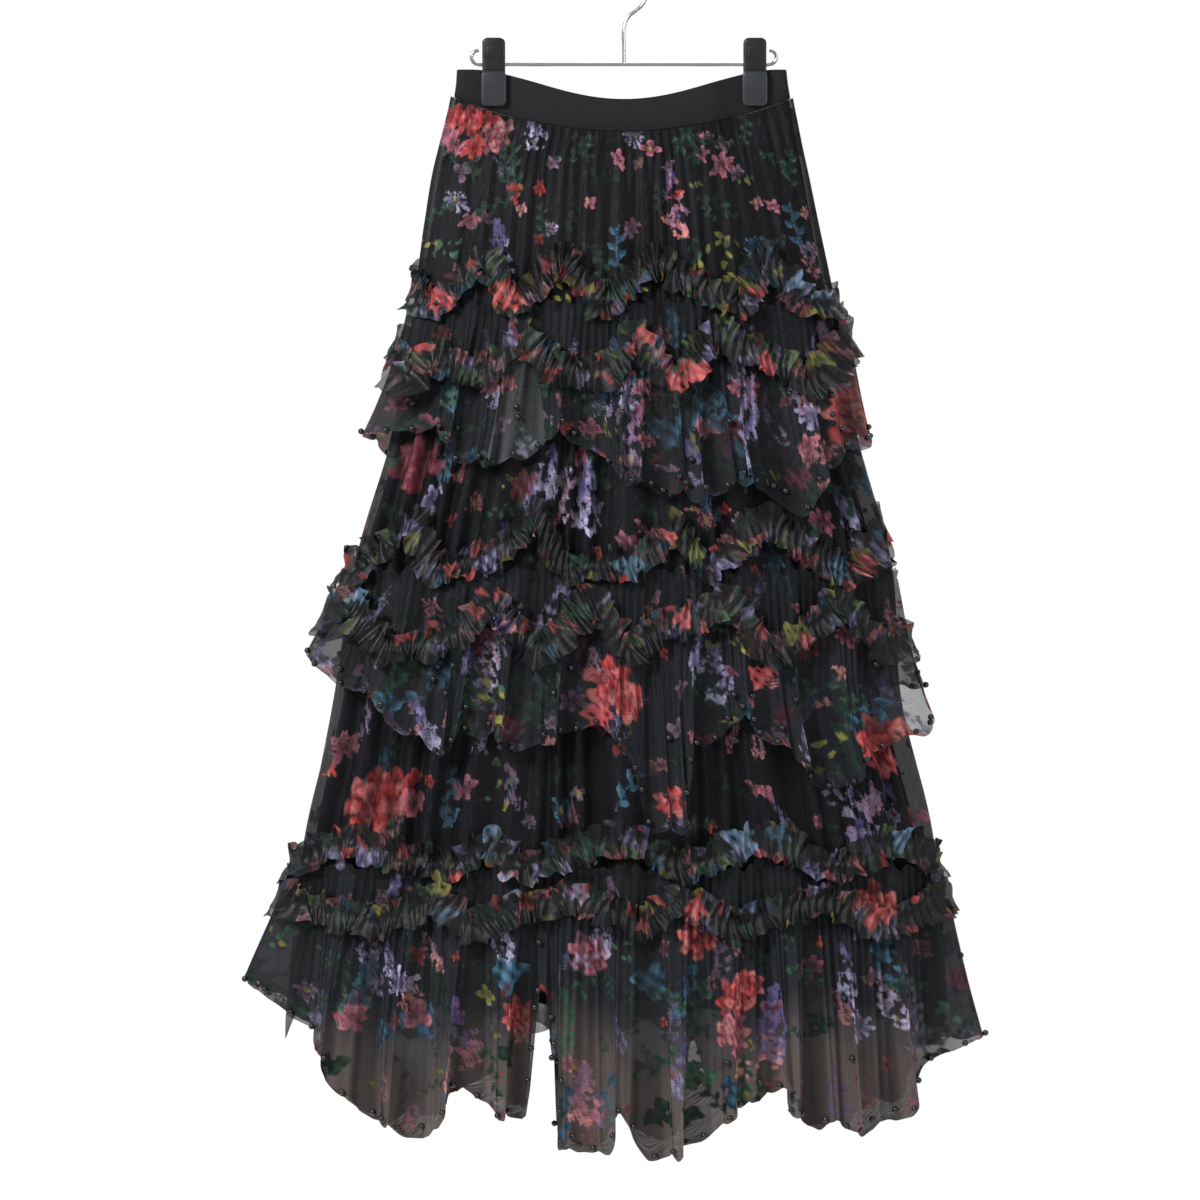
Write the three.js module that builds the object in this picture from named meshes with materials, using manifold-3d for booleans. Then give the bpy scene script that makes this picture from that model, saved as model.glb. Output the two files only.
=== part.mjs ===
// A long tulle skirt with three ruffled tiers, hung from a clip hanger by its elastic waistband.
// Millimetres. +X is to the right as seen from the front, +Y goes from front to back and +Z is up.
// The origin is where the hook bears on a rail. Every layer of cloth is a thin wall round one flattened
// form, moved out from it by its own distance, so the layers lie over each other and never cross.

import * as THREE from "three";
import { mergeVertices } from "three/addons/utils/BufferGeometryUtils.js";
import Module from "manifold-3d";

const wasm = await Module();
wasm.setup();

// Driving dimensions

// Space left between pieces that are sewn or laid together
const SEAM = 0.3;
// Wall of the elastic, the lining, the tulle and the double tulle of the ruches
const ELASTIC = 2.0;
const LINING = 1.2;
const TULLE = 1.5;
const RUCHE = 1.3;

// The form under the cloth at each height: half widths to the left and right, half depth from front
// to back, how far the middle of the base skirt stands off it, and how deep its pleats are
const FORM = [
  { z: -80, left: 140, right: 136, depth: 10, loft: 3.8, pleat: 0.9 },
  { z: -120, left: 142.5, right: 139.5, depth: 10, loft: 3.8, pleat: 0.9 },
  { z: -165, left: 155, right: 149.5, depth: 18, loft: 5.0, pleat: 1.7 },
  { z: -215, left: 163, right: 158.5, depth: 26, loft: 5.8, pleat: 2.4 },
  { z: -290, left: 172, right: 173, depth: 34, loft: 6.4, pleat: 2.8 },
  { z: -395, left: 190, right: 185, depth: 40, loft: 8.8, pleat: 3.6 },
  { z: -505, left: 221, right: 213, depth: 45, loft: 9.6, pleat: 3.8 },
  { z: -620, left: 238, right: 220, depth: 49, loft: 10.4, pleat: 4.2 },
  { z: -735, left: 261, right: 247, depth: 53, loft: 11, pleat: 4.5 },
  { z: -876, left: 280, right: 259, depth: 56, loft: 10, pleat: 4.5 },
  { z: -1005, left: 286, right: 263, depth: 58, loft: 10, pleat: 4.5 },
];

// The waistband's edges: height at the side seams, and how far the middle sags below that
const BAND_TOP = { level: -85, sag: 25.5, reach: 130, power: 2 };
const BAND_BOTTOM = { level: -107, sag: 31, reach: 148, power: 1 };
// The heights at which the form gives the widths of the band's two edges
const BAND_TOP_Z = -80;
const BAND_BOTTOM_Z = -120;

const BASE_HEM_Z = -880;
const LINING_HEM_Z = -876;
const BASE_PLEATS = 20;

// The three tiers. Each row of a hem is a point of its handkerchief edge on the front, from the left
// tip to the right one: where it is, how high, and how far the cloth there stands off the form.
const TIERS = [
  {
    name: "tier_1",
    seamZ: -294,
    folds: 16,
    topFold: 1.2,
    hemFold: 8,
    zigzags: 8,
    swing: 20,
    hem: [
      { x: -223, z: -396, out: 28 },
      { x: -185, z: -391, out: 27 },
      { x: -145, z: -421, out: 26 },
      { x: -100, z: -418, out: 26 },
      { x: -60, z: -386, out: 24 },
      { x: -10, z: -431, out: 26 },
      { x: 65, z: -451, out: 26 },
      { x: 120, z: -431, out: 26 },
      { x: 150, z: -466, out: 27 },
      { x: 217, z: -401, out: 28 },
    ],
  },
  {
    name: "tier_2",
    seamZ: -519,
    folds: 20,
    topFold: 1.2,
    hemFold: 9,
    zigzags: 9,
    swing: 22,
    hem: [
      { x: -270, z: -581, out: 31 },
      { x: -256, z: -606, out: 34 },
      { x: -161, z: -671, out: 32 },
      { x: -140, z: -646, out: 31 },
      { x: -90, z: -662, out: 31 },
      { x: -31, z: -641, out: 30 },
      { x: 9, z: -666, out: 31 },
      { x: 22, z: -729, out: 34 },
      { x: 56, z: -729, out: 34 },
      { x: 70, z: -665, out: 31 },
      { x: 110, z: -631, out: 30 },
      { x: 188, z: -697, out: 33 },
      { x: 259, z: -644, out: 32 },
    ],
  },
  {
    name: "tier_3",
    seamZ: -770,
    folds: 24,
    topFold: 1.4,
    hemFold: 10,
    zigzags: 10,
    swing: 12,
    hem: [
      { x: -326, z: -855, out: 37 },
      { x: -308, z: -884, out: 37 },
      { x: -278, z: -918, out: 36 },
      { x: -254, z: -961, out: 36 },
      { x: -188, z: -990, out: 37 },
      { x: -148, z: -940, out: 33 },
      { x: -131, z: -969, out: 35 },
      { x: -80, z: -969, out: 35 },
      { x: -71, z: -906, out: 31 },
      { x: -61, z: -995, out: 36 },
      { x: -20, z: -1001, out: 37 },
      { x: 1, z: -961, out: 34 },
      { x: 22, z: -1003, out: 37 },
      { x: 56, z: -1002, out: 37 },
      { x: 94, z: -973, out: 35 },
      { x: 141, z: -944, out: 34 },
      { x: 162, z: -969, out: 36 },
      { x: 230, z: -984, out: 37 },
      { x: 256, z: -969, out: 37 },
      { x: 290, z: -918, out: 37 },
      { x: 303, z: -906, out: 37 },
    ],
  },
];

// A ruche is a strip sewn down along its middle, with both edges free and standing out
const RUCHE_HEIGHT = 26;
const RUCHE_FLARE = 3.6;
const RUCHE_WAVE = 1.9;
// How far below its flounce's seam the middle of a tier's diamonds is
const RUCHE_DROP = 4;
// Room beyond a seam that a flounce's straight faces and a ruche's need where the form turns sharply
const FLOUNCE_CLEAR = 0.4;
const RUCHE_CLEAR = 0.8;
// Half the gap between the upper and the lower ruche of a tier where they come nearest
const RUCHE_APART = 0.25;

// The clip hanger: two jaws on each clip, a round wire rail and a wire hook
const WIRE_RADIUS = 1.5;
const RAIL_Z = -80.6;
const HOOK_RADIUS = 18;
const CLIP_WIDTH = 21;
const CLIPS = [
  { name: "clip_left", x: -110.7 },
  { name: "clip_right", x: 111.2 },
];
// Where the jaws press the band flat: half the opening left inside it, the half width of the flat
// part at each clip, how far beside it the band opens out again, and how far below
const PINCH = { at: 111, opening: 0.9, flat: 13, fade: 26, bottom: -122, top: -172 };

// Small helpers

const lerp = (a, b, t) => a + (b - a) * t;

function smooth(from, to, value) {
  const t = Math.min(1, Math.max(0, (value - from) / (to - from)));
  return t * t * (3 - 2 * t);
}

// A table's row at a value of one of its columns, with the columns in between worked out
function rowAt(table, column, value) {
  const falling = table[0][column] > table[table.length - 1][column];
  const passed = (row) => (falling ? row[column] <= value : row[column] >= value);
  const found = table.findIndex(passed);
  const next = found < 0 ? table.length - 1 : Math.max(1, found);
  const a = table[next - 1];
  const b = table[next];
  const t = Math.min(1, Math.max(0, (value - a[column]) / (b[column] - a[column])));
  const row = {};
  for (const key of Object.keys(a)) row[key] = lerp(a[key], b[key], t);
  return row;
}

// The turn, from an ellipse's end at 0 to its side at a quarter turn, at a share of that arc's length
function turnAt(halfWidth, halfDepth, share) {
  const steps = 120;
  const lengths = [0];
  for (let i = 1; i <= steps; i++) {
    const middle = ((i - 0.5) / steps) * (Math.PI / 2);
    const speed = Math.hypot(halfWidth * Math.sin(middle), halfDepth * Math.cos(middle));
    lengths.push(lengths[i - 1] + speed);
  }
  const wanted = share * lengths[steps];
  const i = Math.max(1, lengths.findIndex((length) => length >= wanted - 1e-9));
  const t = (wanted - lengths[i - 1]) / (lengths[i] - lengths[i - 1]);
  return ((i - 1 + t) / steps) * (Math.PI / 2);
}

// How far the clips press the form flat at a place on it, from 0 to 1
function pressed(x, z) {
  const beside = Math.abs(Math.abs(x) - PINCH.at) - PINCH.flat;
  return (1 - smooth(0, PINCH.fade, beside)) * smooth(PINCH.top, PINCH.bottom, z);
}

// A place on the form: round goes from 0 at the left side seam by the front, the right seam at 0.5
// and the back to 1. It gives the point in plan and the direction straight out of the form there.
function onForm(round, z) {
  const { left, right, depth } = rowAt(FORM, "z", z);
  const turns = ((round % 1) + 1) % 1;
  const quarter = Math.floor(turns * 4);
  const share = turns * 4 - quarter;
  const onLeft = quarter === 0 || quarter === 3;
  const fromEnd = quarter % 2 === 0 ? share : 1 - share;
  const halfWidth = onLeft ? left : right;
  const turn = turnAt(halfWidth, depth, fromEnd);
  const side = onLeft ? -1 : 1;
  const face = quarter < 2 ? -1 : 1;
  const x = side * halfWidth * Math.cos(turn);
  const open = depth * Math.sin(turn);
  const shut = PINCH.opening * Math.min(1, 4 * Math.sin(turn));
  const y = face * lerp(open, shut, pressed(x, z));
  const out = new THREE.Vector2(
    (side * Math.cos(turn)) / halfWidth,
    (face * Math.sin(turn)) / depth,
  ).normalize();
  return { x, y, out };
}

// A point that stands off the form by a distance; its height may differ from the form's height
function offForm(round, formZ, distance, z = formZ) {
  const { x, y, out } = onForm(round, formZ);
  return new THREE.Vector3(x + out.x * distance, y + out.y * distance, z);
}

// A closed wall from rows and columns of outer and inner points. Columns go round from the left by
// the front, rows go down. A ring joins its last column to its first, a panel has two end faces.
function wall(name, colour, columns, rows, isRing, pointAt) {
  const last = isRing ? columns : columns + 1;
  const positions = [];
  for (const side of ["outer", "inner"]) {
    for (let i = 0; i < last; i++) {
      for (let j = 0; j <= rows; j++) positions.push(...pointAt(i, j, side).toArray());
    }
  }
  const at = (side, i, j) => side * last * (rows + 1) + (i % last) * (rows + 1) + j;
  const faces = [];
  const quad = (a, b, c, d) => faces.push(a, b, c, a, c, d);
  for (let i = 0; i < columns; i++) {
    for (let j = 0; j < rows; j++) {
      quad(at(0, i, j), at(0, i, j + 1), at(0, i + 1, j + 1), at(0, i + 1, j));
      quad(at(1, i, j), at(1, i + 1, j), at(1, i + 1, j + 1), at(1, i, j + 1));
    }
    quad(at(1, i, 0), at(0, i, 0), at(0, i + 1, 0), at(1, i + 1, 0));
    quad(at(0, i, rows), at(1, i, rows), at(1, i + 1, rows), at(0, i + 1, rows));
  }
  if (!isRing) {
    for (let j = 0; j < rows; j++) {
      quad(at(1, 0, j), at(1, 0, j + 1), at(0, 0, j + 1), at(0, 0, j));
      quad(at(0, columns, j), at(0, columns, j + 1), at(1, columns, j + 1), at(1, columns, j));
    }
  }
  const geometry = new THREE.BufferGeometry();
  geometry.setAttribute("position", new THREE.Float32BufferAttribute(positions, 3));
  geometry.setIndex(faces);
  geometry.computeVertexNormals();
  return namedMesh(name, geometry, colour, 0.9, 0);
}

function namedMesh(name, geometry, color, roughness, metalness) {
  const mesh = new THREE.Mesh(
    geometry,
    new THREE.MeshStandardMaterial({ color, roughness, metalness }),
  );
  mesh.name = name;
  return mesh;
}

// Waistband

// The height of an edge of the band at a place across the front or back
function edgeZ(edge, x) {
  const share = Math.min(1, (x / edge.reach) ** 2);
  return edge.level - edge.sag * (1 - share) ** edge.power;
}

function waistband() {
  const columns = 72;
  return wall("waistband", 0x151517, columns, 1, true, (i, j, side) => {
    const formZ = j === 0 ? BAND_TOP_Z : BAND_BOTTOM_Z;
    const point = offForm(i / columns, formZ, side === "outer" ? ELASTIC : 0);
    point.z = edgeZ(j === 0 ? BAND_TOP : BAND_BOTTOM, point.x);
    return point;
  });
}

// Lining and base skirt, each a front and a back panel

// A panel between the side seams, hanging from just under the waistband
function hungPanel(name, colour, face, columns, levels, hemZ, standOff) {
  const heights = [BAND_BOTTOM_Z, ...levels, hemZ];
  const start = face === "front" ? 0 : 0.5;
  const seamY = face === "front" ? -SEAM / 2 : SEAM / 2;
  return wall(name, colour, columns, heights.length - 1, false, (i, j, side) => {
    const round = start + i / columns / 2;
    const formZ = heights[j];
    const point = offForm(round, formZ, standOff(i, formZ, side));
    if (i === 0 || i === columns) point.y = seamY;
    if (j === 0) point.z = edgeZ(BAND_BOTTOM, onForm(round, formZ).x) - SEAM;
    return point;
  });
}

function liningPanel(face) {
  const levels = [-165, -215, -290, -395, -620];
  const standOff = (i, z, side) => (side === "outer" ? LINING : 0);
  return hungPanel("lining_" + face, 0x0b0b0d, face, 24, levels, LINING_HEM_Z, standOff);
}

function basePanel(face) {
  const levels = [-165, -215, -290, -395, -505, -620, -735];
  const perPleat = 4;
  const columns = (BASE_PLEATS * perPleat) / 2;
  const standOff = (i, z, side) => {
    const { loft, pleat } = rowAt(FORM, "z", z);
    const half = side === "outer" ? TULLE / 2 : -TULLE / 2;
    return loft + pleat * Math.cos((i / perPleat) * 2 * Math.PI) + half;
  };
  return hungPanel("base_" + face, 0x1f1d22, face, columns, levels, BASE_HEM_Z, standOff);
}

// How far the base skirt's outer pleats reach from the form
function baseCrest(z) {
  const { loft, pleat } = rowAt(FORM, "z", z);
  return loft + pleat + TULLE / 2;
}

// Flounces

// The hem of a tier at a place round the skirt. The back has the front's edge turned about, with the
// same two side tips.
function hemAt(tier, round) {
  const { x, y } = onForm(round, tier.hem[0].z);
  const form = rowAt(FORM, "z", tier.hem[0].z);
  const across = x < 0 ? x / form.left : x / form.right;
  const first = tier.hem[0];
  const last = tier.hem[tier.hem.length - 1];
  const reach = across < 0 ? -first.x : last.x;
  if (y <= 0) return rowAt(tier.hem, "x", across * reach);
  const between = tier.hem.slice(1, -1).map((row) => ({ ...row, x: -row.x }));
  const inside = between.filter((row) => row.x > first.x && row.x < last.x);
  return rowAt([first, ...inside.reverse(), last], "x", across * reach);
}

// The middle of a flounce's folds off the form, and their depth, at a height
function flounceAt(tier, round, z) {
  const hem = hemAt(tier, round);
  const down = Math.min(1, Math.max(0, (tier.seamZ - z) / (tier.seamZ - hem.z)));
  const start = baseCrest(tier.seamZ) + SEAM + TULLE / 2 + tier.topFold + FLOUNCE_CLEAR;
  const middle = lerp(start, hem.out, down ** 1.5);
  const fold = lerp(tier.topFold, tier.hemFold, down);
  return { middle, fold };
}

function flounce(tier, colour) {
  const perFold = 4;
  const columns = tier.folds * perFold;
  const rows = 3;
  return wall(tier.name + "_flounce", colour, columns, rows, true, (i, j, side) => {
    const round = i / columns;
    const z = lerp(tier.seamZ, hemAt(tier, round).z, j / rows);
    const { middle, fold } = flounceAt(tier, round, z);
    const half = side === "outer" ? TULLE / 2 : -TULLE / 2;
    return offForm(round, z, middle + fold * Math.cos((i / perFold) * 2 * Math.PI) + half);
  });
}

// Ruches

// How far the cloth under a ruche reaches from the form: the base skirt above the seam, the
// flounce's folds below it, and a short slope between them
function coverAt(tier, round, z) {
  const { middle, fold } = flounceAt(tier, round, z);
  const top = middle + fold + TULLE / 2;
  const overSeam = tier.seamZ + 2;
  const slope = 10;
  return lerp(top, baseCrest(z), smooth(overSeam, overSeam + slope, z));
}

// A ruche goes up and down in a zigzag. The upper one stands on its lower points and the lower one
// hangs from its upper points, so that together they make a row of diamonds.
function ruche(tier, place, colour) {
  const perZigzag = 8;
  const columns = tier.zigzags * perZigzag;
  const rows = 2;
  const up = place === "upper" ? 1 : -1;
  const perWave = 4;
  const nearest = RUCHE_HEIGHT / 2 + RUCHE_APART;
  const middleZ = tier.seamZ - RUCHE_DROP;
  return wall(`${tier.name}_ruche_${place}`, colour, columns, rows, true, (i, j, side) => {
    const round = i / columns;
    const away = 1 - Math.abs(((i / perZigzag) % 1) * 2 - 1);
    const z = middleZ + up * (nearest + 2 * tier.swing * away);
    const edgeWave = Math.cos((i / perWave) * 2 * Math.PI + j * Math.PI);
    const isEdge = j !== 1;
    const flare = isEdge ? RUCHE_FLARE + RUCHE_WAVE * edgeWave : 0;
    const half = side === "outer" ? RUCHE / 2 : -RUCHE / 2;
    const rowZ = z + (1 - j) * (RUCHE_HEIGHT / 2);
    const under = coverAt(tier, round, rowZ) + RUCHE_CLEAR + RUCHE / 2;
    return offForm(round, rowZ, under + flare + half);
  });
}

// Hanger

function solidOf(geometry) {
  const bare = geometry.clone();
  bare.deleteAttribute("normal");
  bare.deleteAttribute("uv");
  const merged = mergeVertices(bare, 1e-3);
  return new wasm.Manifold(
    new wasm.Mesh({
      numProp: 3,
      vertProperties: new Float32Array(merged.attributes.position.array),
      triVerts: new Uint32Array(merged.index.array),
    }),
  );
}

function geometryOf(solid) {
  const mesh = solid.getMesh();
  const geometry = new THREE.BufferGeometry();
  geometry.setAttribute("position", new THREE.BufferAttribute(mesh.vertProperties, 3));
  geometry.setIndex(new THREE.BufferAttribute(mesh.triVerts, 1));
  geometry.computeVertexNormals();
  return geometry;
}

// A round wire along a smooth curve through points of the hanger's plane, given as x and z
function wire(points, steps) {
  const curve = new THREE.CatmullRomCurve3(
    points.map(([x, z]) => new THREE.Vector3(x, 0, z)),
    false,
    "centripetal",
  );
  const section = new THREE.Shape().absarc(0, 0, WIRE_RADIUS, 0, 2 * Math.PI);
  const settings = { extrudePath: curve, steps, curveSegments: 8, bevelEnabled: false };
  return new THREE.ExtrudeGeometry(section, settings);
}

// The rail runs through both clips, and each end is bent up and back to keep its clip on
function rail() {
  const bend = { x: 129.5, radius: 6.2, end: 123.6 };
  const rightEnd = [
    [118, RAIL_Z],
    [bend.end, RAIL_Z],
    [bend.x - 1.5, RAIL_Z + 2.2],
    [bend.x, RAIL_Z + bend.radius],
    [bend.x - 1.5, RAIL_Z + 2 * bend.radius - 2.2],
    [bend.end, RAIL_Z + 2 * bend.radius - 0.2],
  ];
  const leftEnd = rightEnd.map(([x, z]) => [-x, z]).reverse();
  return wire([...leftEnd, [0, RAIL_Z], ...rightEnd], 40);
}

// The hook goes over the top from its open left side, and down into the middle of the rail
function hook() {
  const radius = HOOK_RADIUS + WIRE_RADIUS;
  const points = [];
  for (let degrees = 200; degrees >= -55; degrees -= 15) {
    const angle = THREE.MathUtils.degToRad(degrees);
    points.push([radius * Math.cos(angle), radius * Math.sin(angle) - HOOK_RADIUS]);
  }
  points.push([3.2, -41], [0, -50], [0, -66], [0, RAIL_Z]);
  return wire(points, 32);
}

function hangerFrame() {
  const joined = solidOf(rail()).add(solidOf(hook()));
  return namedMesh("hanger_frame", geometryOf(joined), 0xc8cacc, 0.2, 1);
}

// A clip from the side: a closed top over the rail and two legs that end in pads on the band
function clipShape() {
  const outer = [
    { y: 5.5, z: -58.2 },
    { y: 8.2, z: -60 },
    { y: 9, z: -64 },
    { y: 8.6, z: -80 },
    { y: 7.2, z: -94 },
    { y: 8.6, z: -102 },
    { y: 8.6, z: -113.5 },
    { y: 7.4, z: -116.4 },
  ];
  const inner = [
    { y: 3.9, z: -116.4 },
    { y: 3.3, z: -114.5 },
    { y: 3.3, z: -103 },
    { y: 4.6, z: -98 },
    { y: 4.6, z: -88 },
    { y: 3.4, z: -82 },
    { y: 2.4, z: -79.8 },
    { y: 0.9, z: -78.7 },
  ];
  const back = [...outer, ...inner];
  const front = back.map(({ y, z }) => ({ y: -y, z })).reverse();
  const points = [...back, ...front].map(({ y, z }) => new THREE.Vector2(y, z));
  return new THREE.Shape(points);
}

function clip({ name, x }) {
  const settings = { depth: CLIP_WIDTH, bevelEnabled: false };
  const geometry = new THREE.ExtrudeGeometry(clipShape(), settings);
  const alongX = new THREE.Matrix4().makeBasis(
    new THREE.Vector3(0, 1, 0),
    new THREE.Vector3(0, 0, 1),
    new THREE.Vector3(1, 0, 0),
  );
  geometry.applyMatrix4(alongX);
  const mesh = namedMesh(name, geometry, 0x1b1b1c, 0.45, 0);
  mesh.position.x = x - CLIP_WIDTH / 2;
  return mesh;
}

// The whole skirt on its hanger

const skirt = new THREE.Group();
skirt.add(waistband());
for (const face of ["front", "back"]) skirt.add(liningPanel(face), basePanel(face));
for (const tier of TIERS) {
  skirt.add(flounce(tier, 0x24212a));
  skirt.add(ruche(tier, "upper", 0x2c2733), ruche(tier, "lower", 0x2c2733));
}

const hanger = new THREE.Group();
hanger.add(hangerFrame());
for (const place of CLIPS) hanger.add(clip(place));

const part = new THREE.Group();
part.add(skirt, hanger);

export default part;
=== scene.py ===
"""A long tulle skirt with three ruffled tiers on its clip hanger, in soft studio light.

Sizes are in millimetres, as in the part's source, and become metres where a mesh is made.
Seen from the front, +X is to the right, +Y goes to the back and +Z is up. Every layer of cloth
lies round one flattened form at its own distance, so the layers never cross.
"""

import math

import bpy
import numpy as np
from mathutils import Matrix, Vector


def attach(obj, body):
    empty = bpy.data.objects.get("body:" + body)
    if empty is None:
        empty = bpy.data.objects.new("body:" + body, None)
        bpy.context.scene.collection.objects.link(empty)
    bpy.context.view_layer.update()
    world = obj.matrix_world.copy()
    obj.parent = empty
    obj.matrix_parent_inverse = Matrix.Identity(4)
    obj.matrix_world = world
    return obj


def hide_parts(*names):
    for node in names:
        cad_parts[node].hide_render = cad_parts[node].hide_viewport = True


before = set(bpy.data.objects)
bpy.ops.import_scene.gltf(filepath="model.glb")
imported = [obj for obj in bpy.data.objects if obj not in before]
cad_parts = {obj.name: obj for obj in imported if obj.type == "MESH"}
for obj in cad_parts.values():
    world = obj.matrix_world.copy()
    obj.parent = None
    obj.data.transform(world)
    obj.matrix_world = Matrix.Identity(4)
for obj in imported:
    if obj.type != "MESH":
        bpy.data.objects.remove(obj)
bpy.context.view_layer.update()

MM = 0.001
TAU = 2 * math.pi

# The form under the cloth

# Height, half widths to the left and right, half depth, and the base skirt's loft and pleat depth
FORM = np.array(
    [
        (-80, 140, 136, 10, 3.8, 0.9),
        (-120, 142.5, 139.5, 10, 3.8, 0.9),
        (-165, 155, 149.5, 18, 5.0, 1.7),
        (-215, 163, 158.5, 26, 5.8, 2.4),
        (-290, 172, 173, 34, 6.4, 2.8),
        (-395, 190, 185, 40, 8.8, 3.6),
        (-505, 221, 213, 45, 9.6, 3.8),
        (-620, 238, 220, 49, 10.4, 4.2),
        (-735, 261, 247, 53, 11, 4.5),
        (-876, 280, 259, 56, 10, 4.5),
        (-1005, 286, 263, 58, 10, 4.5),
    ]
)
LEFT, RIGHT, DEPTH, LOFT, PLEAT = 1, 2, 3, 4, 5

BAND_TOP = {"level": -85, "sag": 25.5, "reach": 130, "power": 2}
BAND_BOTTOM = {"level": -107, "sag": 31, "reach": 148, "power": 1}
BAND_TOP_Z = -80
BAND_BOTTOM_Z = -120
ELASTIC = 2.0
SEAM = 0.3
BASE_HEM_Z = -880
LINING_HEM_Z = -876
PINCH = {"at": 111, "opening": 0.9, "flat": 13, "fade": 26, "bottom": -122, "top": -172}


def smooth(start, end, value):
    t = np.clip((value - start) / (end - start), 0, 1)
    return t * t * (3 - 2 * t)


def form_at(z, column):
    """A column of the form's table at any heights, on a smooth curve through its rows."""
    down = -FORM[:, 0]
    values = FORM[:, column]
    slopes = np.gradient(values, down)
    at = np.clip(-np.asarray(z, float), down[0], down[-1])
    row = np.clip(np.searchsorted(down, at) - 1, 0, len(down) - 2)
    span = down[row + 1] - down[row]
    t = (at - down[row]) / span
    start = (2 * t**3 - 3 * t**2 + 1) * values[row] + (t**3 - 2 * t**2 + t) * span * slopes[row]
    end = (3 * t**2 - 2 * t**3) * values[row + 1] + (t**3 - t**2) * span * slopes[row + 1]
    return start + end


def arc_table(ratios, shares):
    """For each depth to width ratio, the turn round an ellipse's quarter at shares of its length."""
    turn = np.linspace(0, 1, 1500) ** 1.5 * math.pi / 2
    middle = (turn[1:] + turn[:-1]) / 2
    table = []
    for ratio in ratios:
        steps = np.hypot(np.sin(middle), ratio * np.cos(middle)) * np.diff(turn)
        length = np.concatenate([[0], np.cumsum(steps)])
        table.append(np.interp(shares, length / length[-1], turn))
    return np.array(table)


RATIOS = np.linspace(0.04, 0.34, 61)
ROOTS = np.linspace(0, 1, 401)
ARCS = arc_table(RATIOS, ROOTS**2)


def turn_at(ratio, share):
    """Between the rows and columns of the arc table."""
    r = (np.clip(ratio, RATIOS[0], RATIOS[-1]) - RATIOS[0]) / (RATIOS[1] - RATIOS[0])
    s = np.sqrt(np.clip(share, 0, 1)) * (len(ROOTS) - 1)
    i = np.clip(r.astype(int), 0, len(RATIOS) - 2)
    j = np.clip(s.astype(int), 0, len(ROOTS) - 2)
    r, s = r - i, s - j
    low = ARCS[i, j] * (1 - s) + ARCS[i, j + 1] * s
    high = ARCS[i + 1, j] * (1 - s) + ARCS[i + 1, j + 1] * s
    return low * (1 - r) + high * r


def on_form(turns, z):
    """x, y and the outward direction on the form. turns is 0 at the left seam, 0.25 at the middle
    of the front, 0.5 at the right seam and 0.75 at the middle of the back."""
    turns, z = np.broadcast_arrays(np.mod(turns, 1.0), np.asarray(z, float))
    quarter = np.minimum((turns * 4).astype(int), 3)
    share = turns * 4 - quarter
    on_left = (quarter == 0) | (quarter == 3)
    half = np.where(on_left, form_at(z, LEFT), form_at(z, RIGHT))
    depth = form_at(z, DEPTH)
    turn = turn_at(depth / half, np.where(quarter % 2 == 0, share, 1 - share))
    side = np.where(on_left, -1, 1)
    face = np.where(quarter < 2, -1, 1)
    x = side * half * np.cos(turn)
    beside = np.abs(np.abs(x) - PINCH["at"]) - PINCH["flat"]
    press = (1 - smooth(0, PINCH["fade"], beside)) * smooth(PINCH["top"], PINCH["bottom"], z)
    shut = PINCH["opening"] * np.minimum(1, 4 * np.sin(turn))
    y = face * (depth * np.sin(turn) * (1 - press) + shut * press)
    out_x = side * np.cos(turn) / half
    out_y = face * np.sin(turn) / depth
    length = np.hypot(out_x, out_y)
    return x, y, out_x / length, out_y / length


def off_form(turns, form_z, distance, z=None):
    """Points that stand off the form by a distance."""
    x, y, out_x, out_y = on_form(turns, form_z)
    height = form_z if z is None else z
    return np.stack(np.broadcast_arrays(x + out_x * distance, y + out_y * distance, height), -1)


def girth(z):
    """The form's length round at a height."""
    left, right, depth = form_at(z, LEFT), form_at(z, RIGHT), form_at(z, DEPTH)
    return 2 * (left + right) * (1 + 0.6 * (depth / (left + right) * 2) ** 1.6)


def edge_z(edge, x):
    share = np.minimum(1, (x / edge["reach"]) ** 2)
    return edge["level"] - edge["sag"] * (1 - share) ** edge["power"]


def ripple(turns, count, seed, wander=0.5, uneven=0.3):
    """The phase and the height of waves round the skirt whose spacing and size both vary."""
    rng = np.random.default_rng(seed)
    phase = TAU * count * turns
    height = np.ones_like(turns)
    for order in range(1, 10):
        a, b = rng.uniform(0, TAU, 2)
        phase = phase + wander * rng.normal() * np.sin(TAU * order * turns + a)
        height = height + uneven * 0.4 * rng.normal() * np.sin(TAU * (order + 2) * turns + b)
    return phase, np.clip(height, 0.4, 1.5)


# Cloth from rows and columns of points


def per_pleat(turns, count, rng, low, high):
    """A different value for each pleat, eased from one to the next."""
    values = rng.uniform(low, high, count)
    at = turns * count
    before = np.floor(at).astype(int)
    share = smooth(0, 1, at - before)
    return values[before % count] * (1 - share) + values[(before + 1) % count] * share


def row_lengths(points):
    """How far along its row each point is, over the folds."""
    steps = np.linalg.norm(np.diff(points, axis=0), axis=2)
    start = np.zeros((1, points.shape[1]))
    return np.concatenate([start, np.cumsum(steps, axis=0)])


def facing(points, ring):
    """Each point's outward normal."""
    if ring:
        along = np.roll(points, -1, axis=0) - np.roll(points, 1, axis=0)
    else:
        along = np.gradient(points, axis=0)
    down = np.gradient(points, axis=1)
    normal = np.cross(down, along)
    return normal / np.maximum(np.linalg.norm(normal, axis=2, keepdims=True), 1e-9)


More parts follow.
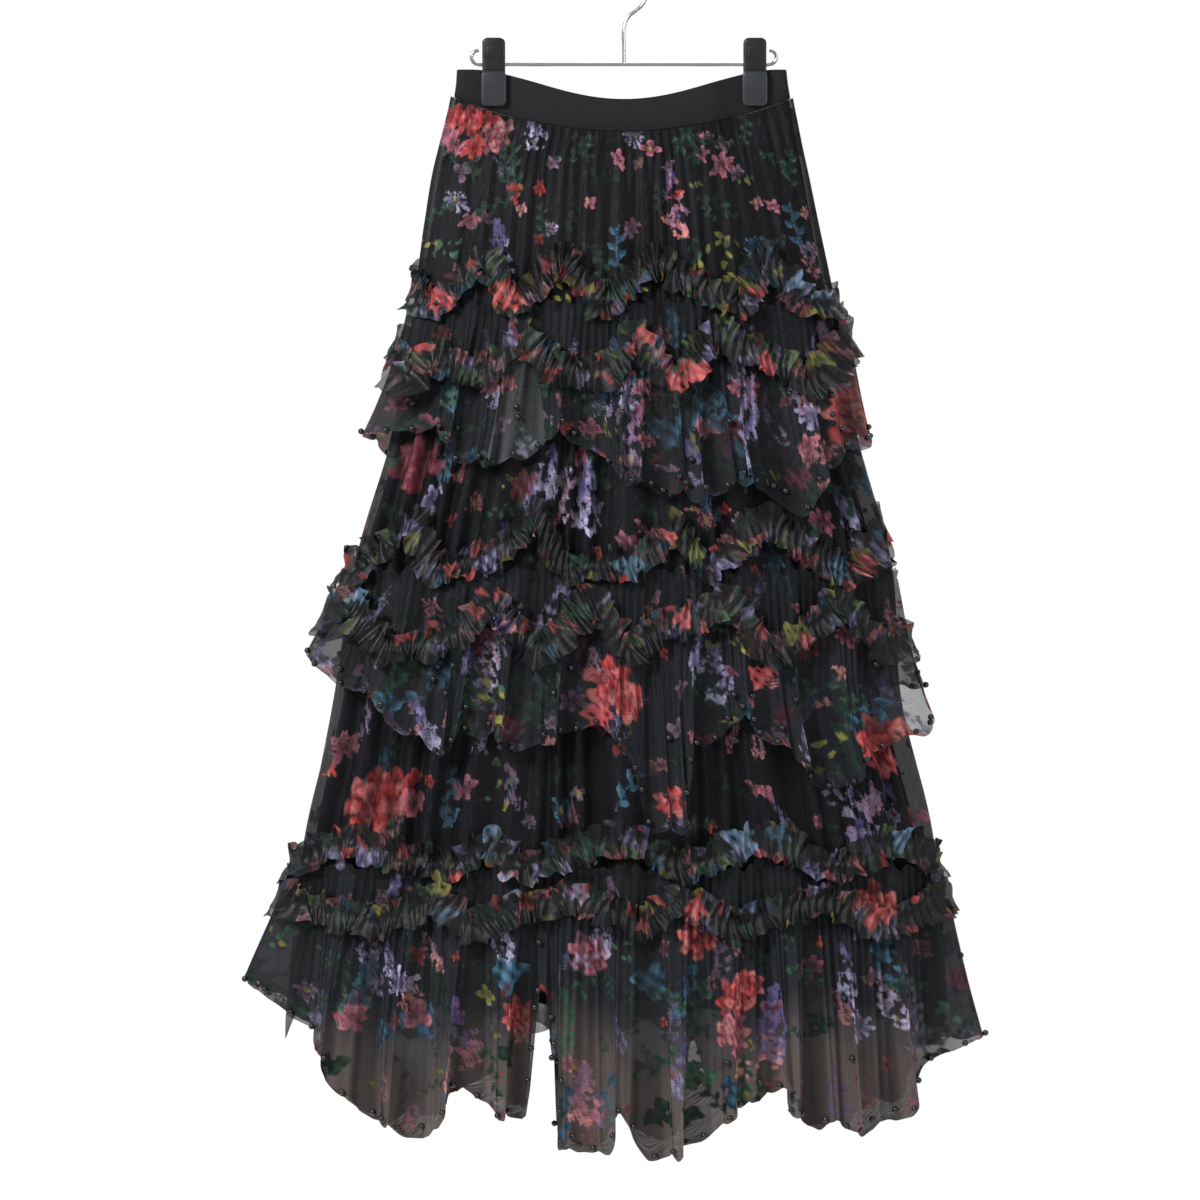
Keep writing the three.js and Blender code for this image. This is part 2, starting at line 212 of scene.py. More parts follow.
def cloth(name, points, ring, material, paint=None, dense=None, painted_fold_shading=None, across=None):
    """A single sheet. Attributes of its points hold its print's ink and colour, how dense its folds
    are, the light and shade painted on its folds, and where the net hangs below the lining. Its own
    UV map is along its rows and down, or across its width where that is given."""
    columns, rows = points.shape[:2]
    index = np.arange(columns * rows).reshape(columns, rows)
    here = index if ring else index[:-1]
    beside = np.roll(index, -1, axis=0) if ring else index[1:]
    corners = [here[:, :-1], here[:, 1:], beside[:, 1:], beside[:, :-1]]
    quads = np.stack(corners, axis=-1).reshape(-1, 4)
    mesh = bpy.data.meshes.new(name)
    mesh.vertices.add(columns * rows)
    mesh.vertices.foreach_set("co", (points * MM).astype(np.float32).ravel())
    mesh.loops.add(quads.size)
    mesh.loops.foreach_set("vertex_index", quads.astype(np.int32).ravel())
    mesh.polygons.add(len(quads))
    mesh.polygons.foreach_set("loop_start", np.arange(0, quads.size, 4, dtype=np.int32))
    mesh.update(calc_edges=True)
    mesh.polygons.foreach_set("use_smooth", np.ones(len(quads), bool))
    along = row_lengths(points) * MM
    down = points[:, :, 2] if across is None else np.broadcast_to(across, along.shape)
    flat = np.stack([along, down * MM], -1).reshape(-1, 2)
    uv = mesh.uv_layers.new(name="cloth")
    uv.data.foreach_set("uv", flat[quads.ravel()].astype(np.float32).ravel())
    ink = sheer = None
    if paint:
        ink, colour = paint
        rgba = np.concatenate([colour, np.ones(colour.shape[:2] + (1,))], -1)
        layer = mesh.attributes.new("print_colour", "FLOAT_COLOR", "POINT")
        layer.data.foreach_set("color", rgba.astype(np.float32).ravel())
        # Below the lining's wavy hem: where the net is painted paler for the backdrop's light through
        # it
        lower = 15 * np.sin(points[..., 0] / 37) + 11 * np.sin(points[..., 0] / 15 + 1)
        sheer = smooth(-872, -940, points[..., 2] + lower)
    values_of = {"print_ink": ink, "dense": dense, "painted_fold_shading": painted_fold_shading, "sheer": sheer}
    for label, values in values_of.items():
        if values is not None:
            layer = mesh.attributes.new(label, "FLOAT", "POINT")
            layer.data.foreach_set("value", values.astype(np.float32).ravel())
    piece = bpy.data.objects.new(name, mesh)
    bpy.context.scene.collection.objects.link(piece)
    mesh.materials.append(material)
    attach(piece, "root")
    return piece


def select_only(piece):
    bpy.ops.object.select_all(action="DESELECT")
    piece.select_set(True)
    bpy.context.view_layer.objects.active = piece


# Colours


def srgb(code):
    """A linear colour from a hexadecimal one."""
    parts = [int(code[i : i + 2], 16) / 255 for i in (0, 2, 4)]
    return np.array([c / 12.92 if c <= 0.04045 else ((c + 0.055) / 1.055) ** 2.4 for c in parts])


CORAL = srgb("c9474a")
DEEP_CORAL = srgb("8c1f2c")
BLUSH = srgb("d98f8b")
PINK = srgb("ad6576")
ROSY = srgb("bd7f85")
MAUVE = srgb("836780")
LILAC = srgb("887da6")
VIOLET = srgb("534a7a")
PALE = srgb("b3aecd")
BLUE = srgb("56839e")
DEEP_BLUE = srgb("2d4c62")
LEAF = srgb("41604d")
DEEP_LEAF = srgb("223d33")
OLIVE = srgb("8d8b45")
WINE = srgb("7a3540")
YOLK = srgb("b9a35a")


# The print's flowers. Each takes places on the cloth from its own middle, in millimetres, and
# its radius, and gives how far inside its edge each place is, and the colour there.

# How far in and out of a flower its edge is told, and how ragged its outside may be
INK_REACH = 3.0
RAGGED = 1.6


def polar(a, b, turn=0.0):
    return np.hypot(a, b), np.arctan2(b, a) + turn


def tint(colour, places):
    return np.broadcast_to(colour, places.shape + (3,)).copy()


def blend(first, second, share):
    share = np.clip(share, 0, 1)[..., None]
    return first * (1 - share) + second * share


def tilted(a, b, rng, least=0.62):
    """The places as seen on a flower that leans away."""
    turn = rng.uniform(0, TAU)
    u = a * math.cos(turn) + b * math.sin(turn)
    v = b * math.cos(turn) - a * math.sin(turn)
    return u, v / rng.uniform(least, 1.0)


def daisy(a, b, size, rng, petal=PINK, heart=None, petals=None):
    """A flat flower of separate petals with nicked ends, uneven in length, some of them missing."""
    count = petals or int(rng.integers(4, 8))
    far, angle = polar(*tilted(a, b, rng))
    lengths = rng.uniform(0.68, 1.12, count) * np.where(rng.uniform(size=count) < 0.1, 0.4, 1)
    which = np.mod(np.round(angle * count / TAU), count).astype(int)
    aside = np.abs(np.mod(angle * count / TAU + 0.5, 1) - 0.5) * 2
    reach = size * lengths[which] * (1 - 0.14 * smooth(0.22, 0.0, aside))
    share = far / reach
    half = np.sin(np.clip(share, 0, 1) ** 0.7 * math.pi) ** 0.8 * 0.8 + 0.04
    ink = np.minimum((half - aside) * far * TAU / count / 2, reach - far)
    ink = np.maximum(ink, size * 0.16 - far)
    tones = rng.uniform(0.6, 1.2, count)
    colour = blend(tint(petal * 0.3, far), petal * 1.1, share * 1.3) * tones[which][..., None]
    colour = blend(colour, petal * 0.6 + 0.22, smooth(0.7, 1.0, share) * rng.uniform(0.1, 0.6))
    colour = blend(colour, petal * 0.3, (aside < 0.2) * (share < 0.75) * 0.7)
    if heart is None:
        heart = YOLK * 0.8 if rng.uniform() < 0.25 else petal * 0.2
    return ink, blend(colour, heart, smooth(0.22, 0.13, far / size))


def fringe(a, b, size, rng, petal=LILAC, tip=PALE):
    """A flower of many narrow petals with gaps between them, pale at their ends."""
    count = int(rng.integers(9, 14))
    far, angle = polar(*tilted(a, b, rng))
    lengths = rng.uniform(0.55, 1.12, count)
    which = np.mod(np.round(angle * count / TAU), count).astype(int)
    aside = np.abs(np.mod(angle * count / TAU + 0.5, 1) - 0.5) * 2
    reach = size * lengths[which]
    share = far / reach
    ink = np.minimum((0.74 - 0.3 * share - aside) * far * TAU / count / 2, reach - far)
    ink = np.maximum(ink, size * 0.2 - far)
    tones = rng.uniform(0.5, 1.15, count)
    colour = blend(tint(petal * 0.3, far), petal, share * 1.6)
    colour = blend(colour, tip, smooth(0.45, 1.0, share)) * tones[which][..., None]
    heart = YOLK * 0.7 if rng.uniform() < 0.4 else petal * 0.3
    return ink, blend(colour, heart, smooth(0.2, 0.12, far / size))


def painted_lit_fold(a, b, size, rng, tone=(0.05, 0.055, 0.06)):
    """A paler grey patch of painted light where a fold of the net lies single, wider and lighter
    downwards.
    """
    down = np.clip(0.5 - b / size / 2, 0, 1)
    wide = size * (0.10 + 0.34 * down)
    ink = np.minimum(wide - np.abs(a - 0.12 * size * down), size - np.abs(b))
    return ink, tint(np.array(tone), a) * (0.7 + 0.5 * down)[..., None]


# A full flower's rings of petals: count, distance out, petal radius and slimness
BLOOM_RINGS = [(7, 0.64, 0.36, 1.45), (5, 0.32, 0.3, 1.2), (3, 0.12, 0.18, 1.0)]


def bloom(a, b, size, rng, petal=CORAL, shade=DEEP_CORAL, light=BLUSH):
    """A full flower: an open ring of long petals with dark gaps, and shorter ones over its heart."""
    ink = np.full(a.shape, -9.0)
    colour = tint(shade * 0.4, a)
    first = rng.uniform(0, TAU)
    for count, away, wide, slim in BLOOM_RINGS:
        for k in range(count):
            angle = first + away * 5 + TAU * (k + rng.uniform(-0.22, 0.22)) / count
            far = size * away * rng.uniform(0.85, 1.1)
            x, y = far * math.cos(angle), far * math.sin(angle)
            u = (a - x) * math.cos(angle) + (b - y) * math.sin(angle)
            v = (b - y) * math.cos(angle) - (a - x) * math.sin(angle)
            nick = 1 + 0.13 * np.sin(4 * np.arctan2(v, u) + k)
            here = size * wide * nick - np.hypot(u, v * slim)
            outer = smooth(-1.0, 0.9, u / (size * wide))
            tone = rng.uniform(0.35, 1.1)
            main = petal * (1 - 0.5 * (k % 3 == 1)) + light * 0.4 * (k % 3 == 1)
            paint = blend(tint(shade * 0.4, a), main * tone, outer * 1.6)
            paint = blend(paint, light * tone, smooth(0.55, 1.0, outer) * rng.uniform(0.0, 0.9))
            paint = blend(paint, shade * 0.12, smooth(0.22 * size * wide, 0, here) * 0.9)
            paint = blend(paint, shade * 0.4, (np.abs(v) < 0.05 * size) * (outer < 0.8) * 0.6)
            colour = np.where((here > -0.2)[..., None], paint, colour)
            ink = np.maximum(ink, here)
    return ink, colour


def spray(a, b, size, rng, light=PALE, dark=VIOLET, length=1.0, width=0.5, florets=46):
    """A spike of small florets, as on lilac, paler and wider downwards."""
    ink = np.full(a.shape, -9.0)
    colour = tint(dark, a)
    lean = rng.uniform(-0.5, 0.5)
    for _ in range(florets):
        along = rng.uniform(-1, 1)
        across = rng.uniform(-1, 1) * width * math.sqrt(max(0.05, 1 - along**2))
        across *= 0.75 - 0.45 * along
        x = size * (across + lean * along)
        y = size * length * along
        small = size * rng.uniform(0.07, 0.13)
        far, angle = polar(a - x, b - y, rng.uniform(0, TAU))
        here = small * (0.75 + 0.35 * np.cos(angle * 4)) - far
        pale = np.clip(0.4 - 0.5 * along + rng.uniform(-0.45, 0.45), 0, 1)
        shade = blend(tint(dark, a), light, np.full(a.shape, pale))
        colour = np.where((here > ink)[..., None], shade, colour)
        ink = np.maximum(ink, here)
    return ink, colour


def sprig(a, b, size, rng, leaf=LEAF, shade=DEEP_LEAF, leaves=6):
    """A bent stem with leaves on both sides."""
    turn = rng.uniform(0, TAU)
    u = a * math.cos(turn) + b * math.sin(turn)
    v = b * math.cos(turn) - a * math.sin(turn) + 0.12 * u * u / size
    ink = size * 0.04 - np.abs(v) - np.maximum(0, np.abs(u) - size)
    colour = tint(shade, a)
    for k in range(leaves):
        at = size * (-0.8 + 1.7 * k / leaves)
        side = 1 if k % 2 else -1
        along = (u - at) * 0.72 + (v * side) * 0.7
        across = (v * side) * 0.72 - (u - at) * 0.7
        reach = size * 0.5
        share = np.clip(along / reach, 0, 1)
        here = reach * 0.25 * np.sin(share * math.pi) ** 1.3 - np.abs(across)
        here = np.where((along < 0) | (along > reach), -3, here)
        tone = rng.uniform(0.45, 1.0)
        paint = blend(tint(shade * 0.6, a), leaf * tone, smooth(-0.3, 0.6, across / reach * 4))
        colour = np.where((here > ink)[..., None], paint, colour)
        ink = np.maximum(ink, here)
    return ink, colour


def buds(a, b, size, rng, bud=OLIVE, stem=LEAF, count=5):
    """A few loose buds, some of them green."""
    ink = np.full(a.shape, -9.0)
    colour = tint(bud, a)
    for _ in range(count):
        x, y = rng.uniform(-0.8, 0.8, 2) * size
        turn = rng.uniform(0, TAU)
        u = (a - x) * math.cos(turn) + (b - y) * math.sin(turn)
        v = (b - y) * math.cos(turn) - (a - x) * math.sin(turn)
        here = size * 0.3 - np.hypot(u, v * 1.9)
        tone = bud if rng.uniform() < 0.75 else stem
        colour = np.where((here > ink)[..., None], tint(tone * rng.uniform(0.8, 1.15), a), colour)
        ink = np.maximum(ink, here)
    return ink, colour


def blot(a, b, size, rng, colour=CORAL, light=BLUSH):
    """A patch of a large flower that the gathers break up."""
    far, angle = polar(a, b)
    k, m = rng.uniform(0, TAU, 2)
    ragged = 0.75 + 0.2 * np.sin(3 * angle + k) + 0.13 * np.sin(7 * angle + m)
    swirl = np.sin(a / size * 7 + k + 1.5 * np.sin(b / size * 3)) * np.sin(b / size * 6 + m)
    ink = np.minimum(size * ragged - far, (swirl + 0.72) * size * 0.5)
    return ink, blend(blend(tint(colour, a), light, swirl), colour * 0.35, smooth(-0.1, -0.8, swirl))


def print_sheet(points, ring, turns, flowers, seed, gathered=0.3):
    """The print's ink and colour on a sheet. A flower is (function, x, z, radius), and settings where
    it has any, with x on the front, or on the back where they say back=True. Its width is measured
    along the cloth for the share gathered, and round the form for the rest."""
    columns, rows = points.shape[:2]
    around = turns * girth(points[..., 2])
    along = row_lengths(points) * gathered + (around - around[:1]) * (1 - gathered)
    x, y, z = points[..., 0], points[..., 1], points[..., 2]
    ink = np.full((columns, rows), -INK_REACH)
    colour = np.full((columns, rows, 3), 0.03)
    rng = np.random.default_rng(seed)
    for kind, across, height, size, *settings in flowers:
        settings = dict(*settings)
        face = 1 if settings.pop("back", False) else -1
        bright = settings.pop("bright", 1.0)
        offset = (x - across) ** 2 + (z - height) ** 2 + np.where(y * face > 0, 0, 1e6)
        i, j = np.unravel_index(np.argmin(offset), offset.shape)
        if offset[i, j] > (size + 12) ** 2:
            continue
        reach = size * 1.9
        a = along - along[i][None, :]
        b = z - height
        if ring:
            total = along[-1][None, :] * columns / (columns - 1)
            a = np.where(a > total / 2, a - total, np.where(a < -total / 2, a + total, a))
        near = (np.abs(a) < reach) & (np.abs(b) < reach)
        if not near.any():
            continue
        here, paint = kind(a[near], b[near], size, rng, **settings)
        take = (here > -RAGGED) & (here > np.minimum(ink[near], 0.0) - 0.2)
        patch = colour[near]
        patch[take] = (paint * bright)[take]
        colour[near] = patch
        # Under a flower on top, the lower one's edge doesn't show
        ink[near] = np.where(take, np.maximum(here, ink[near]), ink[near])
    return np.clip(ink, -INK_REACH, INK_REACH), colour


def scatter(points, seed, count, low, high, choices):
    """Small flowers strewn evenly over a sheet, between two heights."""
    rng = np.random.default_rng(seed)
    columns = len(points)
    made = []
    for k in range(count):
        i = int((k + rng.uniform(0, 1)) / count * (columns - 1))
        z = low + (high - low) * ((k * 0.618034 + rng.uniform(-0.08, 0.08)) % 1)
        j = int(np.argmin(np.abs(points[i, :, 2] - z)))
        x, y = points[i, j, 0], points[i, j, 1]
        kind, size, *settings = choices[int(rng.integers(len(choices)))]
        settings = dict(*settings, back=bool(y > 0), bright=rng.uniform(0.3, 0.8))
        made.append((kind, x, points[i, j, 2], size * rng.uniform(0.8, 1.25), settings))
    return made


def both_faces(flowers):
    """The front's flowers, and the same turned about on the back."""
    turned = [(k, -x, z, size, dict(*s, back=True)) for k, x, z, size, *s in flowers]
    return turned + list(flowers)


# Materials


def input_node(tree, kind, **settings):
    node = tree.nodes.new(kind)
    for label, value in settings.items():
        setattr(node, label, value)
    return node


def new_group(name, inputs, outputs):
    """A shader node group. inputs are (name, kind, default) and outputs (name, kind)."""
    group = bpy.data.node_groups.new(name, "ShaderNodeTree")
    for label, kind, value in inputs:
        socket = group.interface.new_socket(label, in_out="INPUT", socket_type="NodeSocket" + kind)
        if value is not None:
            socket.default_value = value
    for label, kind in outputs:
        group.interface.new_socket(label, in_out="OUTPUT", socket_type="NodeSocket" + kind)
    return group, group.nodes.new("NodeGroupInput"), group.nodes.new("NodeGroupOutput")


def math_node(tree, operation, *values, clamp=False):
    node = input_node(tree, "ShaderNodeMath", operation=operation, use_clamp=clamp)
    for socket, value in zip(node.inputs, values):
        if isinstance(value, (int, float)):
            socket.default_value = value
        else:
            tree.links.new(value, socket)
    return node.outputs[0]


def mix_colour(tree, share, first, second, blend_type="MIX"):
    node = input_node(tree, "ShaderNodeMix", data_type="RGBA", blend_type=blend_type)
    for socket, value in ((node.inputs[0], share), (node.inputs[6], first), (node.inputs[7], second)):
        if isinstance(value, (int, float)):
            socket.default_value = value
        elif isinstance(value, (tuple, list, np.ndarray)):
            socket.default_value = (*[float(c) for c in value], 1)
        else:
            tree.links.new(value, socket)
    return node.outputs[2]


def noise(tree, coordinates, scale, detail=2.0, roughness=0.5):
    node = input_node(tree, "ShaderNodeTexNoise")
    node.inputs["Scale"].default_value = scale
    node.inputs["Detail"].default_value = detail
    node.inputs["Roughness"].default_value = roughness
    tree.links.new(coordinates, node.inputs["Vector"])
    return node.outputs["Fac"]


def grey_of(tree, value):
    """A grey as bright as a value."""
    node = input_node(tree, "ShaderNodeCombineColor")
    for socket in node.inputs:
        tree.links.new(value, socket)
    return node.outputs[0]


def printed_net_group():
    """Net with a crisp-edged print: how ink, bare net and folds set its colour and cover. Painted
    shade darkens its colour low in the folds, and painted glints lighten it in pale streaks.
    """
    inputs = [
        ("Ink", "Float", -3.0),
        ("Print", "Color", None),
        ("Folds", "Float", 0.0),
        ("Ground", "Color", None),
        ("Sheer ground", "Color", None),
        ("Sheer", "Float", 0.0),
        ("Net cover", "Float", 0.6),
        ("Print cover", "Float", 0.9),
        ("Fold cover", "Float", 0.5),
        ("Painted_fold_shading", "Float", 1.0),
        ("Glints", "Float", 0.1),
        ("Place", "Vector", None),
    ]
    group, start, end = new_group("printed_net", inputs, [("Color", "Color"), ("Alpha", "Float")])
    pick = {socket.name: socket for socket in start.outputs}
    wash = noise(group, pick["Place"], 300, 4, 0.6)
    brush = noise(group, pick["Place"], 430, 3, 0.6)
    edge = math_node(group, "MULTIPLY", math_node(group, "SUBTRACT", brush, 0.5), 5.0)
    inside = math_node(group, "ADD", pick["Ink"], edge)
    mask = math_node(group, "MULTIPLY_ADD", inside, 0.9, 0.5, clamp=True)
    tone = math_node(group, "MULTIPLY_ADD", wash, 2.2, -0.05)
    washed = mix_colour(group, 1.0, pick["Print"], grey_of(group, tone), "MULTIPLY")
    # Below the lining, the ground turns to the paler colour painted for the backdrop's light through
    # the net
    ground = mix_colour(group, pick["Sheer"], pick["Ground"], pick["Sheer ground"])
    colour = mix_colour(group, mask, ground, washed)
    # Painted glints: pale streaks of light on the net, as strong as Glints
    stretch = input_node(group, "ShaderNodeVectorMath", operation="MULTIPLY")
    stretch.inputs[1].default_value = (1, 0.14, 1)
    group.links.new(pick["Place"], stretch.inputs[0])
    streaks = noise(group, stretch.outputs[0], 520, 3, 0.6)
    bright = math_node(group, "MULTIPLY_ADD", streaks, 9.0, -5.2, clamp=True)
    glint = math_node(group, "MULTIPLY", bright, pick["Glints"])
    lit = mix_colour(group, glint, colour, GLINT)
    # Painted light and shade from the fold attribute: the colour darkens where the net lies low in
    # its folds and lightens a little on their crests
    depth = math_node(group, "ADD", pick["Painted_fold_shading"], 0.16)
    deep = mix_colour(group, 1.0, lit, grey_of(group, depth), "MULTIPLY")
    group.links.new(deep, end.inputs["Color"])
    gain = math_node(group, "SUBTRACT", pick["Print cover"], pick["Net cover"])
    cover = math_node(group, "ADD", pick["Net cover"], math_node(group, "MULTIPLY", gain, mask))
    # Below the lining the net covers more, so that its painted paler colour shows in place of the
    # backdrop
    backlit_cover = math_node(group, "MULTIPLY", pick["Sheer"], 0.28)
    cover = math_node(group, "ADD", cover, backlit_cover)
    thread = math_node(group, "MULTIPLY", math_node(group, "SUBTRACT", streaks, 0.5), 0.5)
    cover = math_node(group, "ADD", cover, thread, clamp=True)
    rest = math_node(group, "SUBTRACT", 1.0, cover)
    folds = math_node(group, "MULTIPLY", pick["Folds"], pick["Fold cover"], clamp=True)
    alpha = math_node(group, "ADD", cover, math_node(group, "MULTIPLY", rest, folds), clamp=True)
    group.links.new(alpha, end.inputs["Alpha"])
    return group


def weave_group():
    """Fine threads in two directions as height for a bump, with a little unevenness."""
    inputs = [("Place", "Vector", None), ("Threads", "Float", 900.0), ("Uneven", "Float", 0.3)]
    group, start, end = new_group("fine_weave", inputs, [("Height", "Float")])
    pick = {socket.name: socket for socket in start.outputs}
    split = input_node(group, "ShaderNodeSeparateXYZ")
    group.links.new(pick["Place"], split.inputs[0])
    waves = []
    for axis in (0, 1):
        angle = math_node(group, "MULTIPLY", split.outputs[axis], pick["Threads"])
        waves.append(math_node(group, "ABSOLUTE", math_node(group, "SINE", angle)))
    threads = math_node(group, "MULTIPLY", waves[0], waves[1])
    rough = math_node(group, "MULTIPLY", noise(group, pick["Place"], 400), pick["Uneven"])
    group.links.new(math_node(group, "ADD", threads, rough), end.inputs["Height"])
    return group


# Painted glints: the pale light on the net's ridges
GLINT = (0.24, 0.245, 0.29)
# Where no lining is behind the net: its own brownish tint, made paler with painted light from the
# backdrop behind it
PAINTED_BACKLIT_NET = (0.100, 0.080, 0.076)
PRINTED_NET = printed_net_group()
WEAVE = weave_group()


def new_material(name, roughness, sheen=0.0, metallic=0.0, coat=0.0, specular=0.3):
    material = bpy.data.materials.new(name)
    material.use_nodes = True
    tree = material.node_tree
    shader = tree.nodes["Principled BSDF"]
    shader.inputs["Roughness"].default_value = roughness
    shader.inputs["Sheen Weight"].default_value = sheen
    shader.inputs["Sheen Roughness"].default_value = 0.45
    shader.inputs["Metallic"].default_value = metallic
    shader.inputs["Coat Weight"].default_value = coat
    shader.inputs["Specular IOR Level"].default_value = specular
    return material, tree, shader


def add_bump(tree, shader, height, strength, distance):
    bump = input_node(tree, "ShaderNodeBump")
    bump.inputs["Strength"].default_value = strength
    bump.inputs["Distance"].default_value = distance
    tree.links.new(height, bump.inputs["Height"])
    tree.links.new(bump.outputs["Normal"], shader.inputs["Normal"])


def add_weave(tree, shader, place, threads, uneven, strength, distance):
    weave = input_node(tree, "ShaderNodeGroup", node_tree=WEAVE)
    tree.links.new(place, weave.inputs["Place"])
    weave.inputs["Threads"].default_value = threads
    weave.inputs["Uneven"].default_value = uneven
    add_bump(tree, shader, weave.outputs["Height"], strength, distance)


def cloth_place(tree):
    return input_node(tree, "ShaderNodeUVMap", uv_map="cloth").outputs["UV"]


def printed_tulle(name, ground, net, ink, folds, glints, roughness, sheen, specular):
    """Black net with printed flowers. net, ink and folds are how much each covers, and glints how
    strong its painted glints are. Below the lining the net alone shows: there it covers more, and its
    brownish tint is made paler with painted light from the backdrop behind it."""
    material, tree, shader = new_material(name, roughness, sheen=sheen, specular=specular)
    place = cloth_place(tree)
    group = input_node(tree, "ShaderNodeGroup", node_tree=PRINTED_NET)
    for attribute, output, socket in (
        ("print_ink", "Fac", "Ink"),
        ("print_colour", "Color", "Print"),
        ("dense", "Fac", "Folds"),
        ("sheer", "Fac", "Sheer"),
        ("painted_fold_shading", "Fac", "Painted_fold_shading"),
    ):
        node = input_node(tree, "ShaderNodeAttribute", attribute_name=attribute)
        tree.links.new(node.outputs[output], group.inputs[socket])
    group.inputs["Ground"].default_value = (*ground, 1)
    group.inputs["Sheer ground"].default_value = (*PAINTED_BACKLIT_NET, 1)
    group.inputs["Net cover"].default_value = net
    group.inputs["Print cover"].default_value = ink
    group.inputs["Fold cover"].default_value = folds
    group.inputs["Glints"].default_value = glints
    tree.links.new(place, group.inputs["Place"])
    tree.links.new(group.outputs["Color"], shader.inputs["Base Color"])
    tree.links.new(group.outputs["Alpha"], shader.inputs["Alpha"])
    add_bump(tree, shader, noise(tree, place, 460, 4, 0.65), 0.35, 0.0006)
    return material


# The bare net's colours
NET_BLACK = (0.008, 0.0078, 0.012)
NET_GREY = (0.018, 0.020, 0.027)
RUCHE_BLACK = (0.007, 0.007, 0.010)
LOW_GREY = (0.014, 0.0155, 0.021)

LOWEST = printed_tulle("printed_tulle_low", LOW_GREY, 0.68, 0.90, 0.8, 0.10, 0.6, 0.03, 0.2)
GATHERED = printed_tulle("gathered_tulle", NET_BLACK, 0.60, 0.95, 0.8, 0.10, 0.6, 0.03, 0.2)
TULLE = printed_tulle("printed_tulle", NET_GREY, 0.60, 0.92, 0.8, 0.12, 0.6, 0.03, 0.2)
RUCHED = printed_tulle("ruched_tulle", RUCHE_BLACK, 0.78, 0.95, 0.8, 0.30, 0.42, 0.02, 0.35)


def lining_cloth():
    material, tree, shader = new_material("lining_cloth", 0.8, sheen=0.04)
    place = cloth_place(tree)
    tone = noise(tree, place, 60, 4)
    colour = mix_colour(tree, tone, (0.004, 0.004, 0.005), (0.008, 0.008, 0.010))
    tree.links.new(colour, shader.inputs["Base Color"])
    add_weave(tree, shader, place, 3000, 0.3, 0.3, 0.0003)
    return material


def ribbed_elastic():
    material, tree, shader = new_material("ribbed_elastic", 0.78, sheen=0.08)
    place = cloth_place(tree)
    split = input_node(tree, "ShaderNodeSeparateXYZ")
    tree.links.new(place, split.inputs[0])
    ribs = math_node(tree, "SINE", math_node(tree, "MULTIPLY", split.outputs[0], 4200))
    tone = math_node(tree, "MULTIPLY_ADD", ribs, 0.15, 0.5, clamp=True)
    colour = mix_colour(tree, tone, (0.007, 0.007, 0.009), (0.014, 0.014, 0.017))
    tree.links.new(colour, shader.inputs["Base Color"])
    add_bump(tree, shader, ribs, 0.3, 0.0004)
    return material


def object_place(tree):
    return tree.nodes.new("ShaderNodeTexCoord").outputs["Object"]


def black_bead():
    material, tree, shader = new_material("gloss_bead", 0.12, coat=0.5, specular=0.5)
    tone = noise(tree, object_place(tree), 40)
    colour = mix_colour(tree, tone, (0.006, 0.006, 0.007), (0.016, 0.016, 0.018))
    tree.links.new(colour, shader.inputs["Base Color"])
    return material


def chrome_wire():
    material, tree, shader = new_material("bright_wire", 0.18, metallic=1.0)
    tone = noise(tree, object_place(tree), 220, 3)
    colour = mix_colour(tree, tone, (0.62, 0.63, 0.65), (0.80, 0.81, 0.82))
    tree.links.new(colour, shader.inputs["Base Color"])
    rough = math_node(tree, "MULTIPLY_ADD", tone, 0.14, 0.12)
    tree.links.new(rough, shader.inputs["Roughness"])
    return material


def moulded_plastic(name, dark, light, roughness):
    material, tree, shader = new_material(name, roughness, specular=0.45)
    place = object_place(tree)
    colour = mix_colour(tree, noise(tree, place, 90, 3), dark, light)
    tree.links.new(colour, shader.inputs["Base Color"])
    add_bump(tree, shader, noise(tree, place, 2400, 2), 0.25, 0.0002)
    return material


LINING = lining_cloth()
ELASTIC_CLOTH = ribbed_elastic()
BEAD = black_bead()
WIRE = chrome_wire()
PLASTIC = moulded_plastic("clip_plastic", (0.010, 0.010, 0.011), (0.018, 0.018, 0.019), 0.36)
PAD = moulded_plastic("clip_pad", (0.026, 0.029, 0.033), (0.042, 0.046, 0.051), 0.32)

# Waistband

# Round the band's section: share of its height down and of its thickness out
BAND_SECTION = [(0.0, 0.7), (0.01, 0.95), (0.03, 1.0), (0.5, 1.0), (0.97, 1.0), (1.0, 0.7)]
BAND_SECTION += [(1.0, 0.3), (0.97, 0.0), (0.5, 0.0), (0.03, 0.0), (0.0, 0.3)]


def waistband():
    """A ring of elastic with rounded edges: down the outside and up the inside."""
    columns = 360
    turns = np.arange(columns)[:, None] / columns
    down, out = np.array(BAND_SECTION).T[:, None]
    form_z = BAND_TOP_Z + (BAND_BOTTOM_Z - BAND_TOP_Z) * down
    points = off_form(turns, form_z, ELASTIC * out)
    top = edge_z(BAND_TOP, points[..., 0])
    bottom = edge_z(BAND_BOTTOM, points[..., 0])
    points[..., 2] = top + (bottom - top) * down
    return np.concatenate([points, points[:, :1]], axis=1)


def closed_ring(name, points, material):
    """A ring whose last row is its first again, with those two rows made one."""
    piece = cloth(name, points, True, material)
    select_only(piece)
    bpy.ops.object.mode_set(mode="EDIT")
    bpy.ops.mesh.select_all(action="SELECT")
    bpy.ops.mesh.remove_doubles(threshold=1e-6)
    bpy.ops.object.mode_set(mode="OBJECT")
    piece.select_set(False)
    return piece


band = closed_ring("elastic_waistband", waistband(), ELASTIC_CLOTH)
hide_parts("waistband")

# Lining


